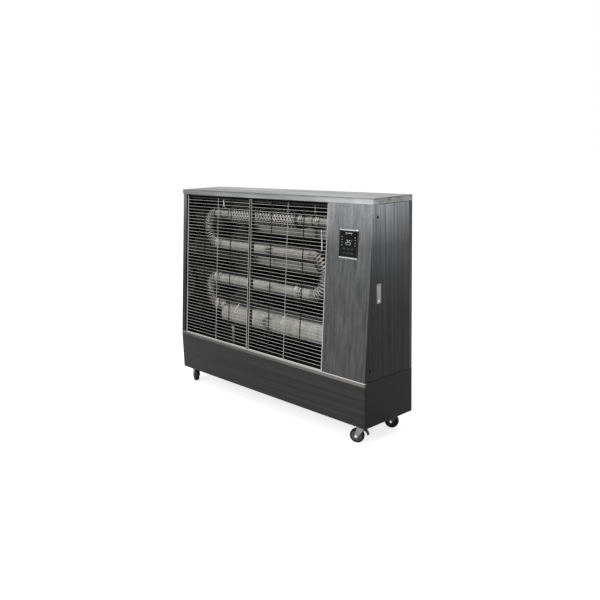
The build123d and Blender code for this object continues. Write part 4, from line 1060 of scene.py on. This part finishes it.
class Caster:
    """One caster: where its kingpin stands and which way it points."""

    def __init__(self, place, x, y, heading, braked):
        turn = math.radians(heading)
        self.place = place
        self.braked = braked
        self.origin = Vector((x, y, 0))
        self.ahead = Vector((math.cos(turn), math.sin(turn), 0))
        self.side = Vector((math.sin(turn), -math.cos(turn), 0))
        self.axle = self.at(-TRAIL, AXLE_Z, 0)

    def at(self, u, v, w):
        """Point u ahead of the kingpin, v above the floor and w to the side."""
        return self.origin + self.ahead * u + Vector((0, 0, v)) + self.side * w

    def from_side(self, start):
        """Mapping for an outline whose depth starts at a distance to the side."""
        return lambda u, v, w: self.at(u, v, start + w)

    def add_spoke(self, bm, angle):
        """Raised rib on both faces of the wheel's web."""
        along = self.ahead * math.cos(angle) + Vector((0, 0, math.sin(angle)))
        across = along.cross(self.side) * SPOKE_HALF
        inner, outer = self.axle + along * SPOKE_START, self.axle + along * SPOKE_END
        ring = [inner - across, outer - across, outer + across, inner + across]
        for out in (-self.side, self.side):
            near = [point + out * SPOKE_NEAR for point in ring]
            far = [point + out * SPOKE_FAR for point in ring]
            add_hexahedron(bm, near + far, 1)

    def build_wheel(self):
        """Tyre, rim, web with spokes and hub."""
        bm = bmesh.new()
        add_lathe(bm, self.axle, self.side, TREAD, 56)
        for face in bm.faces:
            reach = face.calc_center_median() - self.axle
            reach -= self.side * reach.dot(self.side)
            if reach.length < HUB_REACH:
                face.material_index = 1
        for spoke in range(SPOKES):
            self.add_spoke(bm, 2 * math.pi * spoke / SPOKES)
        looks = ["rubber", "hub" if self.braked else "hub_dark"]
        replaced = [f"caster_wheel_{self.place}"]
        finish_piece(bm, f"wheel_{self.place}_tread", looks, f"wheel_{self.place}", replaced)

    def add_leg(self, bm, s):
        """Leg on one side of the wheel, its shoulder under the crown and its axle nut."""
        leg = [(-FORK_HALF, CROWN + 2.6), (FORK_HALF, CROWN + 2.6), (FORK_HALF - 2, CROWN - FORK_TOE)]
        for k in range(9):
            angle = math.radians(-40 - 22.5 * k)
            leg.append((-TRAIL + FORK_EYE * math.cos(angle), AXLE_Z + FORK_EYE * math.sin(angle)))
        leg += [(-TRAIL - 7.5, AXLE_Z + 6), (-FORK_HALF - 2, CROWN - FORK_TOE)]
        start = min(s * FORK_INSIDE, s * FORK_OUTSIDE)
        add_outline(bm, leg, self.from_side(start), FORK_OUTSIDE - FORK_INSIDE)
        shoulder = [(-FORK_HALF, CROWN), (FORK_HALF, CROWN), (FORK_HALF, CROWN + 3), (-FORK_HALF, CROWN + 3)]
        start = min(s * SHOULDER_INSIDE, s * FORK_OUTSIDE)
        add_outline(bm, shoulder, self.from_side(start), FORK_OUTSIDE - SHOULDER_INSIDE)
        nut_at = self.at(-TRAIL, AXLE_Z, s * FORK_OUTSIDE)
        add_lathe(bm, nut_at, self.side * s, rounded(-0.5, 2.6, 5.8, 0.8), 6 if s < 0 else 24, index=1)

    def build_fork(self):
        """Crown, two legs with shoulders, axle and, under a pedal, its pin."""
        bm = bmesh.new()
        add_lathe(bm, self.origin + Vector((0, 0, CROWN)), UPWARD, CROWN_PROFILE, 36)
        for s in (-1, 1):
            self.add_leg(bm, s)
        axle = [(0, 0), (0, 4), (30, 4), (30, 0)]
        add_lathe(bm, self.at(-TRAIL, AXLE_Z, -15), self.side, axle, 24, closed=False)
        if self.braked:
            pin = [(0, 0), (0, 2), (30, 2), (30, 0)]
            add_lathe(bm, self.at(PEDAL_U, PEDAL_V, -15), self.side, pin, 20, closed=False)
            for s in (-1, 1):
                head_at = self.at(PEDAL_U, PEDAL_V, s * 15.8)
                add_lathe(bm, head_at, self.side * s, rounded(-0.4, 1.4, 3.6, 0.5), 20)
        # Front forks take the lit copy, rear forks the painted-shade copy
        looks = ["fork" if self.braked else "shade", "chrome"]
        replaced = [f"caster_fork_{self.place}"]
        finish_piece(bm, f"fork_{self.place}_plate", looks, f"swivel_{self.place}", replaced, 0.5)

    def build_pedal(self):
        """Brake pedal with four grip ribs along its slope."""
        bm = bmesh.new()
        shape = [(u, PEDAL_V + v) for u, v in PEDAL_TOP + PEDAL_UNDER + PEDAL_EYE]
        add_outline(bm, shape, self.from_side(-PEDAL_WIDTH / 2), PEDAL_WIDTH)
        for k in range(RIB_COUNT):
            u, v = 22.5 + 2.6 * k, PEDAL_V - 0.8 - 5.2 * k
            rib = [(u, v), (u + 1.6, v - 2.4), (u + 2.6, v - 1.4), (u + 1.0, v + 1.0)]
            add_outline(bm, rib, self.from_side(-RIB_WIDTH / 2), RIB_WIDTH)
        replaced = [f"brake_pedal_{self.place}"]
        name, body = f"pedal_{self.place}_pad", f"brake_{self.place}"
        finish_piece(bm, name, ["black"], body, replaced, 0.6)


for settings in CASTERS:
    caster = Caster(*settings)
    caster.build_wheel()
    caster.build_fork()
    if caster.braked:
        caster.build_pedal()


# Camera, as in the photograph; angles in radians, place in metres
YAW, PITCH, ROLL = 0.8297, 0.2177, -0.0302
CAMERA_AT = (2.5579, -2.2501, 1.2511)
LENS, SENSOR, SHIFT_UP = 43.71, 36.0, 0.0036


def build_camera():
    """Camera turned by yaw and pitch, then rolled about its own axis."""
    data = bpy.data.cameras.new("camera")
    camera = bpy.data.objects.new("camera", data)
    bpy.context.scene.collection.objects.link(camera)
    bpy.context.scene.camera = camera
    forward = Vector((-math.sin(YAW) * math.cos(PITCH), math.cos(YAW) * math.cos(PITCH), -math.sin(PITCH)))
    right = forward.cross(Vector(UPWARD)).normalized()
    up = right.cross(forward)
    right_rolled = right * math.cos(ROLL) + up * math.sin(ROLL)
    up_rolled = up * math.cos(ROLL) - right * math.sin(ROLL)
    turn = Matrix((right_rolled, up_rolled, -forward)).transposed()
    camera.matrix_world = Matrix.Translation(CAMERA_AT) @ turn.to_4x4()
    data.lens = LENS
    data.sensor_width = SENSOR
    data.shift_y = SHIFT_UP


# Floor, light and background
FLOOR_RADIUS, FLOOR_GLOW = 12.0, 0.74
AMBIENT, BACKDROP = 0.45, 1.0
WHITE = (1.0, 1.0, 1.0, 1.0)


def seen_rays(tree):
    """1 for camera, glossy and transmission rays, 0 for the rest."""
    path = tree.nodes.new("ShaderNodeLightPath")
    total = path.outputs["Is Camera Ray"]
    for ray in ("Is Glossy Ray", "Is Transmission Ray"):
        node = tree.nodes.new("ShaderNodeMath")
        node.operation = "MAXIMUM"
        tree.links.new(total, node.inputs[0])
        tree.links.new(path.outputs[ray], node.inputs[1])
        total = node.outputs[0]
    return total


def build_floor():
    """White floor that keeps the shadow and glows only for the rays that are seen."""
    mesh = bpy.data.meshes.new("floor")
    bm = bmesh.new()
    bmesh.ops.create_circle(bm, cap_ends=True, radius=FLOOR_RADIUS, segments=64)
    bm.to_mesh(mesh)
    bm.free()
    floor = bpy.data.objects.new("floor", mesh)
    bpy.context.scene.collection.objects.link(floor)
    graph = Graph("floor_white")
    graph.set(Base_Color=(0.8, 0.8, 0.8, 1.0), Roughness=1.0, Specular_IOR_Level=0.0, Emission_Color=WHITE)
    glow = graph.add("ShaderNodeMath", operation="MULTIPLY")
    graph.link(seen_rays(graph.tree), glow.inputs[0])
    glow.inputs[1].default_value = FLOOR_GLOW
    graph.link(glow.outputs[0], graph.shader.inputs["Emission Strength"])
    mesh.materials.append(graph.material)


def build_world():
    """White backdrop with a softer light on the object."""
    world = bpy.data.worlds.new("world")
    bpy.context.scene.world = world
    world.use_nodes = True
    tree = world.node_tree
    background = tree.nodes["Background"]
    level = tree.nodes.new("ShaderNodeMapRange")
    level.inputs["To Min"].default_value = AMBIENT
    level.inputs["To Max"].default_value = BACKDROP
    tree.links.new(seen_rays(tree), level.inputs["Value"])
    tree.links.new(level.outputs["Result"], background.inputs["Strength"])
    background.inputs["Color"].default_value = WHITE


AIM = (0, 0, 0.6)


def lamp(name, place, size, power):
    """Soft rectangular lamp aimed at the middle of the casing."""
    data = bpy.data.lights.new(name, "AREA")
    data.shape = "RECTANGLE"
    data.size, data.size_y = size
    data.energy = power
    obj = bpy.data.objects.new(name, data)
    obj.location = place
    obj.rotation_mode = "QUATERNION"
    obj.rotation_quaternion = (Vector(AIM) - Vector(place)).to_track_quat("-Z", "Y")
    bpy.context.scene.collection.objects.link(obj)


build_camera()
build_floor()
build_world()
lamp("lamp_top", (0.3, -0.4, 3.2), (3.0, 2.0), 60.0)
lamp("lamp_front", (0.6, -3.6, 2.6), (2.4, 1.6), 42.0)

bpy.context.scene.view_settings.view_transform = "Standard"
